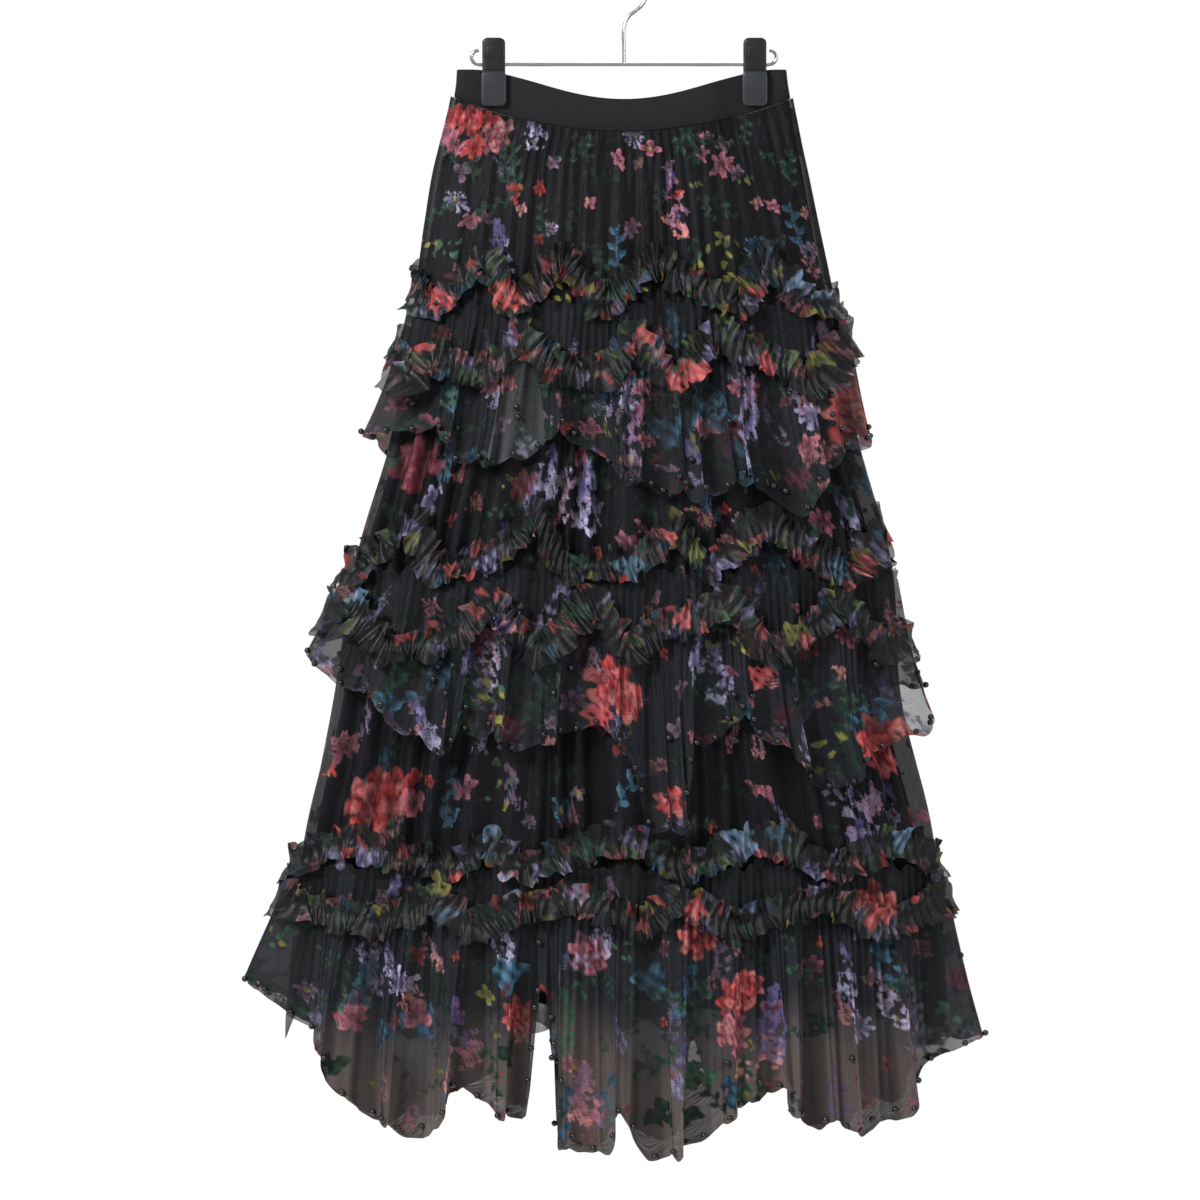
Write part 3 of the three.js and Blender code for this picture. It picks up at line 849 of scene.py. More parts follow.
def hung_rows(turns, heights, distance):
    """A panel's points from just under the waistband down. The two faces' panels meet at their
    side seams."""
    points = off_form(turns, heights, distance)
    share = smooth(BAND_BOTTOM_Z - 45, BAND_BOTTOM_Z, heights)
    drop = edge_z(BAND_BOTTOM, points[..., 0]) - SEAM - BAND_BOTTOM_Z
    points[..., 2] = points[..., 2] + drop * share
    points[[0, -1], :, 1] = 0
    return points


def panel_turns(face, columns):
    """From side seam to side seam, over the front or the back."""
    start = 0.0 if face == "front" else 0.5
    return start + np.linspace(0, 0.5, columns)[:, None]


def lining_panel(face):
    columns, rows = 200, 90
    turns = panel_turns(face, columns)
    heights = np.linspace(BAND_BOTTOM_Z, LINING_HEM_Z, rows)[None, :]
    phase, size = ripple(np.broadcast_to(turns, (columns, rows)), 17, 21, 0.8, 0.5)
    soft = 0.55 * size * np.cos(phase) * smooth(-150, -500, heights)
    points = hung_rows(turns, heights, 0.6 + soft)
    points[..., 2] += 5 * size * np.sin(phase * 0.5) * smooth(-600, LINING_HEM_Z, heights)
    return points


for face in ("front", "back"):
    panel = cloth("lining_cloth_" + face, lining_panel(face), False, LINING)
    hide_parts("lining_" + face)

# Base skirt

# Waves round the skirt: at the waistband, below it, from the first tier down, and slow ones
GATHERS = 74
HALF_GATHERS = 52
FOLDS = 44
SWELLS = 15
# Where the part above the tiers ends
YOKE_Z = -330


def base_out(turns, z):
    """How far the base skirt stands off the form, and the light and shade painted on its folds,
    darker in their hollows: fine gathers, some deep and some hardly there, that merge into broader
    folds."""
    sway = 0.0016 * np.sin(z / 70 + TAU * 3 * turns) + 0.0011 * np.sin(z / 31 + TAU * 7 * turns)
    fine, _ = ripple(turns + sway * 0.3, GATHERS, 11, 1.3, 0.9)
    half, _ = ripple(turns + sway * 0.6, HALF_GATHERS, 12, 1.5, 0.9)
    broad, broad_size = ripple(turns + sway, FOLDS, 13, 1.6, 0.9)
    slow, _ = ripple(turns + sway * 1.5, SWELLS, 14, 1.8, 0.9)
    rng = np.random.default_rng(15)
    fine_size = per_pleat(np.mod(turns, 1), GATHERS, rng, 0.0, 1.3) ** 1.6
    half_size = per_pleat(np.mod(turns, 1), HALF_GATHERS, rng, 0.0, 1.2) ** 1.5
    to_half = smooth(-135, -215, z)
    to_broad = smooth(-250, -420, z)
    upper = np.cos(fine) * fine_size * (1 - to_half) + np.cos(half) * half_size * to_half
    upper = upper + 0.45 * np.cos(slow)
    wave = upper * (1 - to_broad) + np.cos(broad) * broad_size * to_broad
    depth = (form_at(z, PLEAT) + 0.45) * (0.6 + 0.4 * smooth(-200, -420, z))
    wave = np.clip(wave, -1.15, 1.15)
    # Painted light and shade: darker in the folds' hollows, lighter on their crests and on the slow
    # swells
    bright = np.clip(0.62 + 0.32 * wave + 0.12 * np.cos(slow), 0, 1)
    return form_at(z, LOFT) + depth * wave, bright


def base_panel(face):
    upper = np.arange(BAND_BOTTOM_Z, YOKE_Z, -2.9)
    heights = np.concatenate([upper, np.linspace(YOKE_Z, BASE_HEM_Z, 116)])
    turns, heights = np.broadcast_arrays(panel_turns(face, 368), heights[None, :])
    distance, painted_fold_shading = base_out(turns, heights)
    points = hung_rows(turns, heights, distance)
    uneven, size = ripple(turns, 9, 17, 1.2, 0.8)
    low = 14 + 12 * np.cos(uneven) * size
    points[..., 2] -= low * smooth(-700, BASE_HEM_Z, heights)
    # Painted shade under the waistband: the top rows are darkened
    painted_fold_shading = painted_fold_shading * (0.1 + 0.9 * smooth(BAND_BOTTOM_Z, BAND_BOTTOM_Z - 9, heights))
    return points, turns, painted_fold_shading


def fold_density(points, ring, turns, z):
    """From 0 where the cloth faces straight out to 1 where a fold's side stands on edge."""
    _, _, out_x, out_y = on_form(turns, z)
    normal = facing(points, ring)
    straight = np.abs(normal[..., 0] * out_x + normal[..., 1] * out_y)
    return np.clip(1 - straight, 0, 1)


BLUE_LEAVES = {"leaf": BLUE, "shade": DEEP_BLUE}
CORNFLOWER = {"petal": DEEP_BLUE, "tip": BLUE}

# The print as it lies on the front: kind, across, height, radius, and settings where it has any
YOKE = [
    (daisy, -30, -199, 8, {"petals": 5}),
    (daisy, 127, -202, 9, {"petals": 5}),
    (fringe, -62, -222, 9, {"petal": MAUVE}),
    (fringe, 8, -141, 12, {"petal": LILAC}),
    (sprig, 52, -138, 22, {"leaf": LEAF}),
    (sprig, -95, -165, 22, {"leaf": LEAF}),
    (daisy, 70, -143, 9, {"petal": ROSY}),
    (sprig, -128, -160, 22),
    (sprig, -100, -172, 20),
    (sprig, -150, -150, 18),
    (bloom, -133, -128, 15, {"light": ROSY}),
    (daisy, -149, -124, 13, {"petal": CORAL, "petals": 6}),
    (daisy, -118, -128, 14, {"petal": CORAL, "petals": 5}),
    (bloom, -110, -143, 15, {"petal": PINK}),
    (daisy, -127, -152, 15, {"petal": CORAL, "petals": 6}),
    (daisy, -99, -133, 10, {"petal": ROSY}),
    (daisy, -143, -148, 13, {"petals": 6}),
    (daisy, -152, -139, 10, {"petal": PINK}),
    (spray, -76, -140, 17, {"dark": LILAC, "width": 0.8, "length": 0.8}),
    (sprig, -37, -153, 16),
    (daisy, -5, -162, 11),
    (daisy, 22, -153, 11),
    (daisy, 82, -166, 15),
    (daisy, 66, -158, 9),
    (daisy, 96, -174, 9, {"petal": MAUVE}),
    (sprig, 103, -136, 15),
    (sprig, 140, -170, 18),
    (spray, 43, -200, 28, {"dark": VIOLET, "light": BLUSH}),
    (daisy, 44, -192, 9, {"petal": CORAL}),
    (fringe, -142, -196, 14),
    (daisy, -129, -214, 11),
    (daisy, -93, -191, 11, {"petal": CORAL}),
    (daisy, -71, -187, 8, {"petal": CORAL}),
    (spray, -105, -242, 28),
    (sprig, -6, -242, 24, BLUE_LEAVES),
    (sprig, -20, -262, 22),
    (sprig, 146, -222, 24, BLUE_LEAVES),
    (sprig, 118, -255, 22),
    (sprig, -108, -200, 20, {"leaf": DEEP_LEAF}),
    (sprig, 60, -150, 18, {"leaf": DEEP_LEAF}),
    (sprig, 78, -146, 16),
    (daisy, -86, -205, 9, {"petal": ROSY}),
    (daisy, 112, -198, 8, {"petal": PINK}),
    (buds, -166, -230, 12, {"bud": OLIVE}),
    (fringe, -46, -250, 12, CORNFLOWER),
    (fringe, 110, -236, 12, CORNFLOWER),
    (daisy, 7, -223, 9, {"petal": MAUVE}),
    (daisy, 160, -238, 9, {"petal": MAUVE}),
    (buds, 14, -264, 12),
    (buds, -54, -272, 13),
    (buds, 77, -232, 14),
    (buds, 90, -251, 13),
    (buds, 60, -250, 10),
    (sprig, -70, -215, 16),
    (sprig, 70, -205, 14),
    (daisy, 38, -168, 8, {"petal": MAUVE}),
    (sprig, -155, -205, 16),
    (buds, -150, -240, 12, {"bud": LEAF}),
    (daisy, -60, -165, 7, {"petal": MAUVE}),
]
MIDDLE = [
    (spray, -40, -440, 34, {"dark": WINE, "light": PALE}),
    (spray, -75, -455, 18),
    (bloom, -190, -700, 26),
    (daisy, -205, -735, 15, {"petal": ROSY}),
    (sprig, -225, -735, 20),
    (spray, 205, -720, 32, {"dark": MAUVE, "light": LILAC}),
    (spray, 190, -470, 26),
    (sprig, 185, -450, 22),
    (bloom, -178, -421, 26, {"petal": WINE, "light": PINK}),
    (fringe, -165, -451, 16),
    (daisy, -140, -430, 12, {"petal": PINK}),
    (spray, -29, -450, 30),
    (daisy, -60, -470, 10),
    (daisy, 95, -470, 9, {"petal": MAUVE}),
    (sprig, -100, -460, 18),
    (sprig, 150, -480, 18),
    (bloom, -212, -706, 30),
    (daisy, -178, -706, 18),
    (sprig, -195, -740, 22),
    (sprig, 5, -690, 26, BLUE_LEAVES),
    (fringe, -52, -712, 13, CORNFLOWER),
    (spray, 209, -748, 30),
    (bloom, 220, -670, 20),
    (daisy, 120, -700, 11),
    (buds, -105, -700, 14),
    (sprig, 60, -730, 18),
]
FIRST = [
    # Painted light on a fold of the net
    (painted_lit_fold, -95, -372, 66),
    (fringe, -100, -352, 8, {"petal": ROSY, "tip": BLUSH}),
    (spray, -84, -400, 14, {"dark": LEAF, "light": PALE}),
    (daisy, -104, -388, 8, {"petal": MAUVE, "petals": 5}),
    (spray, 8, -392, 26, {"dark": WINE, "light": LILAC}),
    (spray, 104, -372, 30, {"dark": MAUVE, "light": LILAC}),
    (bloom, 195, -360, 22),
    (fringe, 178, -352, 13),
    (sprig, -35, -365, 20),
    (spray, -45, -330, 16),
    (fringe, 2, -365, 15),
    (fringe, -20, -345, 12, {"petal": PINK, "tip": ROSY}),
    (daisy, -114, -353, 14),
    (daisy, 14, -357, 11),
    (daisy, 18, -400, 12),
    (daisy, -29, -391, 12),
    (daisy, 65, -391, 12),
    (daisy, 154, -404, 14),
    (spray, 103, -400, 24),
    (fringe, 160, -378, 14),
    (bloom, 200, -383, 28),
    (daisy, 5, -417, 10, {"petal": MAUVE}),
    (bloom, -186, -336, 17),
    (sprig, -60, -350, 18),
    (sprig, 130, -350, 16),
    (buds, -150, -370, 13, {"bud": LEAF}),
    (sprig, -160, -395, 20),
    (daisy, 40, -425, 9, {"petal": MAUVE}),
    (spray, -40, -425, 18, {"dark": VIOLET}),
]
SECOND = [
    (bloom, 5, -622, 20, {"petal": CORAL}),
    (spray, -112, -585, 24, {"dark": WINE, "light": PALE}),
    (fringe, -60, -575, 13),
    (sprig, -130, -620, 24),
    (sprig, 190, -620, 24),
    (spray, 80, -600, 22),
    (bloom, -10, -608, 26),
    (blot, -20, -635, 14, {"light": PINK}),
    (buds, -110, -610, 14),
    (buds, -105, -640, 13),
    (spray, -165, -646, 30, {"width": 0.3}),
    (sprig, -200, -622, 26, BLUE_LEAVES),
    (sprig, 204, -634, 26, BLUE_LEAVES),
    (bloom, 39, -706, 16),
    (blot, 113, -600, 13),
    (blot, 110, -575, 12),
    (bloom, 222, -655, 26),
    (buds, 103, -570, 13),
    (buds, 175, -660, 14),
    (sprig, -60, -600, 18),
    (sprig, 60, -600, 18),
    (spray, 60, -585, 20),
    (sprig, 150, -620, 20),
    (daisy, -60, -640, 10, {"petal": MAUVE}),
]
THIRD = [
    (spray, -140, -900, 30, {"dark": VIOLET, "light": ROSY}),
    (fringe, -180, -870, 15, {"petal": PINK, "tip": ROSY}),
    (spray, 130, -890, 34, {"dark": VIOLET, "light": LILAC}),
    (bloom, 92, -870, 20, {"petal": CORAL}),
    (daisy, 95, -930, 17, {"petal": BLUSH}),
    (spray, -50, -890, 28, {"dark": DEEP_LEAF, "light": LEAF}),
    (spray, -225, -870, 26, {"dark": DEEP_BLUE, "light": LEAF}),
    (spray, 225, -875, 24, {"dark": MAUVE, "light": PALE}),
    (sprig, -110, -930, 26),
    (spray, -30, -950, 24, {"dark": MAUVE, "light": PINK}),
    (sprig, 30, -925, 26),
    (sprig, 60, -880, 26),
    (sprig, -30, -850, 24),
    (blot, -97, -850, 18, {"colour": DEEP_BLUE, "light": BLUE}),
    (blot, -95, -800, 12, {"colour": BLUE, "light": PALE}),
    (spray, -199, -790, 22),
    (bloom, -29, -833, 20, {"petal": PINK, "light": PALE}),
    (bloom, 60, -820, 20),
    (bloom, 212, -795, 24),
    (buds, -160, -778, 14),
    (daisy, -114, -867, 13, {"petal": OLIVE, "petals": 5}),
    (fringe, -190, -859, 17),
    (daisy, -229, -888, 15),
    (daisy, -178, -886, 18),
    (bloom, -93, -884, 17),
    (bloom, 94, -900, 20, {"petal": PINK}),
    (bloom, 105, -860, 15),
    (spray, 120, -910, 22, {"light": BLUSH}),
    (spray, -148, -930, 22, {"light": BLUSH, "dark": MAUVE}),
    (fringe, 196, -893, 16),
    (spray, -37, -955, 22, {"light": BLUSH, "dark": MAUVE}),
    (sprig, 40, -870, 20),
    (sprig, 150, -850, 20),
    (sprig, -60, -900, 22),
    (sprig, 240, -860, 22),
    (sprig, 100, -940, 22),
    (blot, 60, -935, 16, {"colour": LEAF, "light": DEEP_LEAF}),
]
SMALL = [
    (daisy, 9, {"petal": PINK}),
    (daisy, 10, {"petal": MAUVE}),
    (daisy, 8, {"petal": CORAL}),
    (daisy, 9, {"petal": ROSY}),
    (sprig, 16),
    (sprig, 18, {"leaf": DEEP_LEAF}),
    (buds, 10),
    (spray, 17),
    (buds, 10, {"bud": LEAF}),
    (spray, 14, {"dark": MAUVE, "light": BLUSH}),
]
LARGE = 2 * SMALL + [
    (bloom, 13, {"petal": WINE, "light": MAUVE}),
    (spray, 26),
    (spray, 22, {"dark": MAUVE, "light": LILAC}),
    (spray, 24, {"dark": DEEP_BLUE, "light": BLUE}),
    (fringe, 15),
    (fringe, 12, {"petal": PINK, "tip": ROSY}),
    (daisy, 14, {"petal": PINK}),
    (blot, 15, {"colour": DEEP_BLUE, "light": BLUE}),
    (blot, 16, {"colour": DEEP_LEAF, "light": LEAF}),
    (sprig, 24, {"leaf": DEEP_LEAF}),
]

for face in ("front", "back"):
    points, turns, painted_fold_shading = base_panel(face)
    low = scatter(points, 41, 210, YOKE_Z, -860, LARGE)
    high = scatter(points, 42, 34, -140, -290, SMALL)
    flowers = low + high + both_faces(MIDDLE + YOKE)
    paint = print_sheet(points, False, turns, flowers, 51)
    dense = fold_density(points, False, turns, points[..., 2])
    # At the side seams the gathers lie behind each other
    outward = np.abs(on_form(turns, points[..., 2])[2])
    dense = np.maximum(dense, smooth(0.35, 0.9, outward) * smooth(YOKE_Z, -290, points[..., 2]))
    dense = np.maximum(dense, 0.65 * smooth(0.25, 0.7, outward))
    panel = cloth("base_skirt_" + face, points, False, GATHERED, paint, dense, painted_fold_shading)
    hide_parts("base_" + face)

# Tiers

TULLE_WALL = 1.5
FLOUNCE_CLEAR = 0.4
# seam is the height of the sewn edge, and strewn and beads are counts. In metres, flat is the width
# and length of the cloth before it is gathered, and strip is a ruche's length. cut is the share of
# the cloth that the hem's points leave. A hem's row is across, height and distance off the form.
TIERS = [
    {
        "name": "tier_1",
        "strewn": 190,
        "beads": 26,
        "flat": (1.45, 0.172),
        "cut": 0.72,
        "strip": 1.5,
        "seam": -294,
        "folds": 16,
        "top_fold": 1.2,
        "hem_fold": 8,
        "zigzags": 8,
        "swing": 20,
        "columns": 720,
        "rows": 46,
        "flowers": FIRST,
        "hem": [
            (-223, -396, 28),
            (-185, -391, 27),
            (-145, -421, 26),
            (-100, -418, 26),
            (-60, -386, 24),
            (-10, -431, 26),
            (65, -451, 26),
            (120, -431, 26),
            (150, -466, 27),
            (217, -401, 28),
        ],
    },
    {
        "name": "tier_2",
        "strewn": 220,
        "beads": 34,
        "flat": (1.75, 0.21),
        "cut": 0.64,
        "strip": 1.8,
        "seam": -519,
        "folds": 20,
        "top_fold": 1.2,
        "hem_fold": 9,
        "zigzags": 9,
        "swing": 22,
        "columns": 820,
        "rows": 56,
        "flowers": SECOND,
        "hem": [
            (-270, -581, 31),
            (-256, -606, 34),
            (-161, -671, 32),
            (-140, -646, 31),
            (-90, -662, 31),
            (-31, -641, 30),
            (9, -666, 31),
            (22, -729, 34),
            (56, -729, 34),
            (70, -665, 31),
            (110, -631, 30),
            (188, -697, 33),
            (259, -644, 32),
        ],
    },
    {
        "name": "tier_3",
        "strewn": 280,
        "beads": 30,
        "flat": (2.1, 0.235),
        "cut": 0.8,
        "strip": 1.9,
        "slit": (-70, 8, -866),
        "seam": -770,
        "folds": 24,
        "top_fold": 1.4,
        "hem_fold": 10,
        "zigzags": 10,
        "swing": 12,
        "columns": 920,
        "rows": 74,
        "flowers": THIRD,
        "hem": [
            (-326, -855, 37),
            (-308, -884, 37),
            (-278, -918, 36),
            (-254, -961, 36),
            (-188, -990, 37),
            (-148, -940, 33),
            (-131, -969, 35),
            (-80, -969, 35),
            (-71, -906, 31),
            (-61, -995, 36),
            (-20, -1001, 37),
            (1, -961, 34),
            (22, -1003, 37),
            (56, -1002, 37),
            (94, -973, 35),
            (141, -944, 34),
            (162, -969, 36),
            (230, -984, 37),
            (256, -969, 37),
            (290, -918, 37),
            (303, -906, 37),
        ],
    },
]


def hem_at(tier, turns):
    """The hem's height and distance off the form: the front as tabled, the back turned about."""
    hem = np.array(tier["hem"], float)
    level = hem[0, 1]
    x, y, _, _ = on_form(turns, level)
    across = np.where(x < 0, x / form_at(level, LEFT), x / form_at(level, RIGHT))
    reach = np.where(across < 0, -hem[0, 0], hem[-1, 0])
    middle = hem[1:-1] * np.array([-1, 1, 1])
    inside = middle[(middle[:, 0] > hem[0, 0]) & (middle[:, 0] < hem[-1, 0])][::-1]
    turned = np.concatenate([hem[:1], inside, hem[-1:]])
    both = []
    for column in (1, 2):
        front = np.interp(across * reach, hem[:, 0], hem[:, column])
        back = np.interp(across * reach, turned[:, 0], turned[:, column])
        both.append(np.where(y <= 0, front, back))
    if "slit" in tier:
        at, half, top = tier["slit"]
        open_share = smooth(half, half * 0.25, np.abs(x - at))
        both[0] = both[0] + (top - both[0]) * open_share
    return both


def base_crest(z):
    return form_at(z, LOFT) + form_at(z, PLEAT) + TULLE_WALL / 2


def flounce_at(tier, turns, z):
    """The middle of a flounce's folds off the form, and their depth."""
    hem_z, hem_out = hem_at(tier, turns)
    down = np.clip((tier["seam"] - z) / (tier["seam"] - hem_z), 0, 1)
    start = base_crest(tier["seam"]) + SEAM + TULLE_WALL / 2 + tier["top_fold"] + FLOUNCE_CLEAR
    middle = start + (hem_out - start) * down**1.5
    return middle, tier["top_fold"] + (tier["hem_fold"] - tier["top_fold"]) * down, down


HEADING = 9
HEADING_ROWS = 4


def flounce_points(tier, seed):
    """A flounce: a frilled heading over its seam, and fine gathers there that open into broad folds,
    which overhang at the hem."""
    columns, rows = tier["columns"], tier["rows"] - HEADING_ROWS
    turns = np.arange(columns)[:, None] / columns
    share = np.linspace(0, 1, rows)[None, :] ** 1.05
    hem_z, _ = hem_at(tier, turns)
    main, main_size = ripple(turns, tier["folds"], seed, 0.35, 0.25)
    small, small_size = ripple(turns, tier["folds"] * 2.5, seed + 1, 0.8, 0.5)
    fine, _ = ripple(turns, tier["folds"] * 7, seed + 2, 1.4, 0.5)
    rng = np.random.default_rng(seed + 3)
    fine_size = per_pleat(turns, tier["folds"] * 7, rng, 0.15, 1.5)
    lift = 3.4 * np.cos(small) * small_size + 0.7 * np.cos(fine)
    z = tier["seam"] + (hem_z + lift * 0.8 - tier["seam"]) * share
    middle, fold, down = flounce_at(tier, turns, z)
    wave = np.cos(main) * main_size * 0.78
    wave = wave + np.cos(small + 0.6 * down) * small_size * 0.34
    wave = wave + np.cos(fine) * fine_size * (0.55 * (1 - down) ** 2 + 0.10)
    lean = np.sin(main) * main_size * 0.9 + np.sin(small) * small_size * 0.3
    length = girth(tier["seam"]) / tier["folds"] / TAU
    aside = -lean * length * down**1.2 / girth(z)
    wave = np.clip(wave, -1.05, 1.1)
    hung = off_form(turns + aside, z, middle + fold * wave)
    # Painted light and shade: darker in the folds' hollows, lighter on their crests
    painted_fold_shading = 0.2 + 0.55 * smooth(-0.95, -0.15, wave) + 0.2 * smooth(-0.2, 0.9, wave)
    # Painted shade: between the ruches the net is darkened as in their shade
    painted_fold_shading = painted_fold_shading * (0.5 + 0.5 * smooth(tier["seam"] - 20, tier["seam"] - 70, z))
    painted_fold_shading = np.concatenate([painted_fold_shading[:, :1]] * HEADING_ROWS + [painted_fold_shading], axis=1)
    rise = np.linspace(1, 1 / HEADING_ROWS, HEADING_ROWS)[None, :]
    ragged = 1 + 0.25 * np.cos(fine * 0.5) + 0.2 * np.cos(small)
    head_z = tier["seam"] + HEADING * rise * ragged
    frill = 1.4 + rise * (1.6 + 1.5 * np.cos(fine))
    head = off_form(turns, head_z, middle[:, :1] - 1.4 + frill)
    points = np.concatenate([head, hung], axis=1)
    return points, np.broadcast_to(turns, points.shape[:2]), painted_fold_shading


def near_hem(share):
    """The doubled edge of a hem, from 0 above it to 1 on it."""
    return smooth(0.97, 0.99, share)


flounces = {}
for number, tier in enumerate(TIERS):
    points, turns, painted_fold_shading = flounce_points(tier, 60 + number * 7)
    z = points[..., 2]
    flounces[tier["name"]] = points
    lowest = min(row[1] for row in tier["hem"])
    ends = (tier["seam"] - 15, lowest + 15)
    strewn = scatter(points, 71 + number, tier["strewn"], *ends, LARGE)
    flowers = strewn + both_faces(tier["flowers"])
    paint = print_sheet(points, True, turns, flowers, 81 + number)
    dense = fold_density(points, True, turns, z)
    edge = np.linspace(0, 1, tier["rows"])[None, :]
    dense = np.maximum(dense, 0.45 * near_hem(edge))
    # At the sides the folds lie behind each other
    side = smooth(0.3, 0.85, np.abs(on_form(turns, np.maximum(z, -1000))[2]))
    dense = np.maximum(dense, 0.2 * side)
    # Further layers hang behind the lowest flounce down to its upper part
    lowest_tier = tier is TIERS[-1]
    dense = np.maximum(dense, 0.75 * smooth(-950, -880, z) * lowest_tier)
    name = tier["name"] + "_printed_flounce"
    material = LOWEST if lowest_tier else TULLE
    piece = cloth(name, points, True, material, paint, dense, painted_fold_shading)
    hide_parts(tier["name"] + "_flounce")
    width, length = tier["flat"]

# Ruches

RUCHE_HEIGHT = 26
RUCHE_DROP = 4
RUCHE_APART = 0.25
RUCHE_CLEAR = 0.8
PINCH_PITCH = 7.2
PER_PINCH = 7
RUCHE_ROWS = 9
# How far a free edge may lift off the cloth below
EDGE_LIFT = 8.5
# Below 1, so that the corners of the zigzag and of the pinches are round
ZIGZAG_KEEP = 0.965
PINCH_KEEP = 0.93


def cover_at(tier, turns, z):
    """How far the cloth under a ruche reaches from the form."""
    middle, fold, _ = flounce_at(tier, turns, z)
    top = middle + fold * 1.1 + TULLE_WALL / 2
    return top + (base_crest(z) - top) * smooth(tier["seam"] + 2, tier["seam"] + 12, z)


def per_edge(across, turns, count, rng, low, high):
    """A different value for each pleat of the strip's upper half, and others for its lower half."""
    upper = per_pleat(turns, count, rng, low, high)
    return np.where(across > 0, upper, per_pleat(turns, count, rng, low, high))


def ruche_points(tier, place, seed):
    """A strip pinched along its middle, going up and down in a zigzag, with both edges free."""
    rng = np.random.default_rng(seed)
    up = 1 if place == "upper" else -1
    around = girth(tier["seam"])
    zigzag = around / tier["zigzags"]
    run = 2 * math.hypot(zigzag / 2, 2 * tier["swing"])
    pinches = round(run * tier["zigzags"] / PINCH_PITCH)
    columns = pinches * PER_PINCH
    turns = np.arange(columns)[:, None] / columns
    across = np.linspace(-1, 1, RUCHE_ROWS)[None, :]
    corner = math.acos(ZIGZAG_KEEP) / math.pi
    wander, _ = ripple(turns, 0, seed + 3, 0.35, 0)
    triangle = np.arccos(ZIGZAG_KEEP * np.cos(TAU * tier["zigzags"] * turns + wander)) / math.pi
    away = (triangle - corner) / (1 - 2 * corner)
    away = away * per_pleat(turns, tier["zigzags"] * 2, rng, 0.8, 1.08)
    nearest = RUCHE_HEIGHT / 2 + RUCHE_APART
    middle_z = tier["seam"] - RUCHE_DROP + up * (nearest + 2 * tier["swing"] * away)
    slope = np.gradient(middle_z[:, 0], around / columns)[:, None]
    tilt = np.arctan(slope) * 0.45 + per_pleat(turns, pinches, rng, -0.4, 0.4)
    pinch, _ = ripple(turns, pinches, seed + 1, 1.6, 0)
    pinch = pinch + per_pleat(turns, pinches // 2, rng, -1.5, 1.5)
    pinch = pinch + across * per_pleat(turns, pinches // 2, rng, -1.7, 1.7)
    bend = per_pleat(turns, pinches // 3, rng, -1.2, 1.2)
    pinch = pinch + bend * np.sin(across * 2.6 + bend * 2)
    sharp = np.arcsin(PINCH_KEEP * np.cos(pinch)) / math.asin(PINCH_KEEP)
    # At the side edges the strips lie flatter
    _, _, out_x, _ = on_form(turns, middle_z)
    calm = 1 - 0.55 * smooth(0.45, 0.9, np.abs(out_x))
    half = RUCHE_HEIGHT / 2 * per_edge(across, turns, pinches * 2, rng, 0.78, 1.45)
    aside = -np.sin(tilt) * across * half
    z = middle_z + np.cos(tilt) * across * half
    round_at = turns + aside / around
    free = np.abs(across) ** 1.2
    lifted = per_edge(across, turns, pinches, rng, 1.0, EDGE_LIFT) * calm
    depth = 0.8 + 3.0 * free * calm * per_pleat(turns, pinches, rng, 0.25, 1.5)
    depth = depth * per_pleat(turns, pinches // 4, rng, 0.45, 1.3)
    curl = 1.0 * free * np.sin(pinch * 2 + across * 3)
    under = cover_at(tier, round_at, z) + RUCHE_CLEAR
    distance = under + np.maximum(0.2, 0.9 + free * lifted + depth * sharp + curl)
    gather = -np.sin(pinch) * 1.1 * free * (PINCH_PITCH / TAU) / around
    points = off_form(round_at + gather, z, distance)
    flipped = slice(None, None, -1)
    width = across * RUCHE_HEIGHT / 2
    # Painted light and shade on the strip: lighter on the pinches' ridges and on the lifted free
    # edges, broken up at random
    broken = 0.5 + 0.5 * np.sin(across * 5 + per_pleat(turns, pinches, rng, -3, 3))
    shaded = 0.42 + 0.3 * sharp * (0.45 + 0.8 * broken) + 0.5 * free * (lifted / EDGE_LIFT)
    painted_fold_shading = np.clip(shaded, 0, 1) + 0 * across
    made = (points, round_at, z, np.broadcast_to(width, z.shape), painted_fold_shading)
    return [values[:, flipped] for values in made]


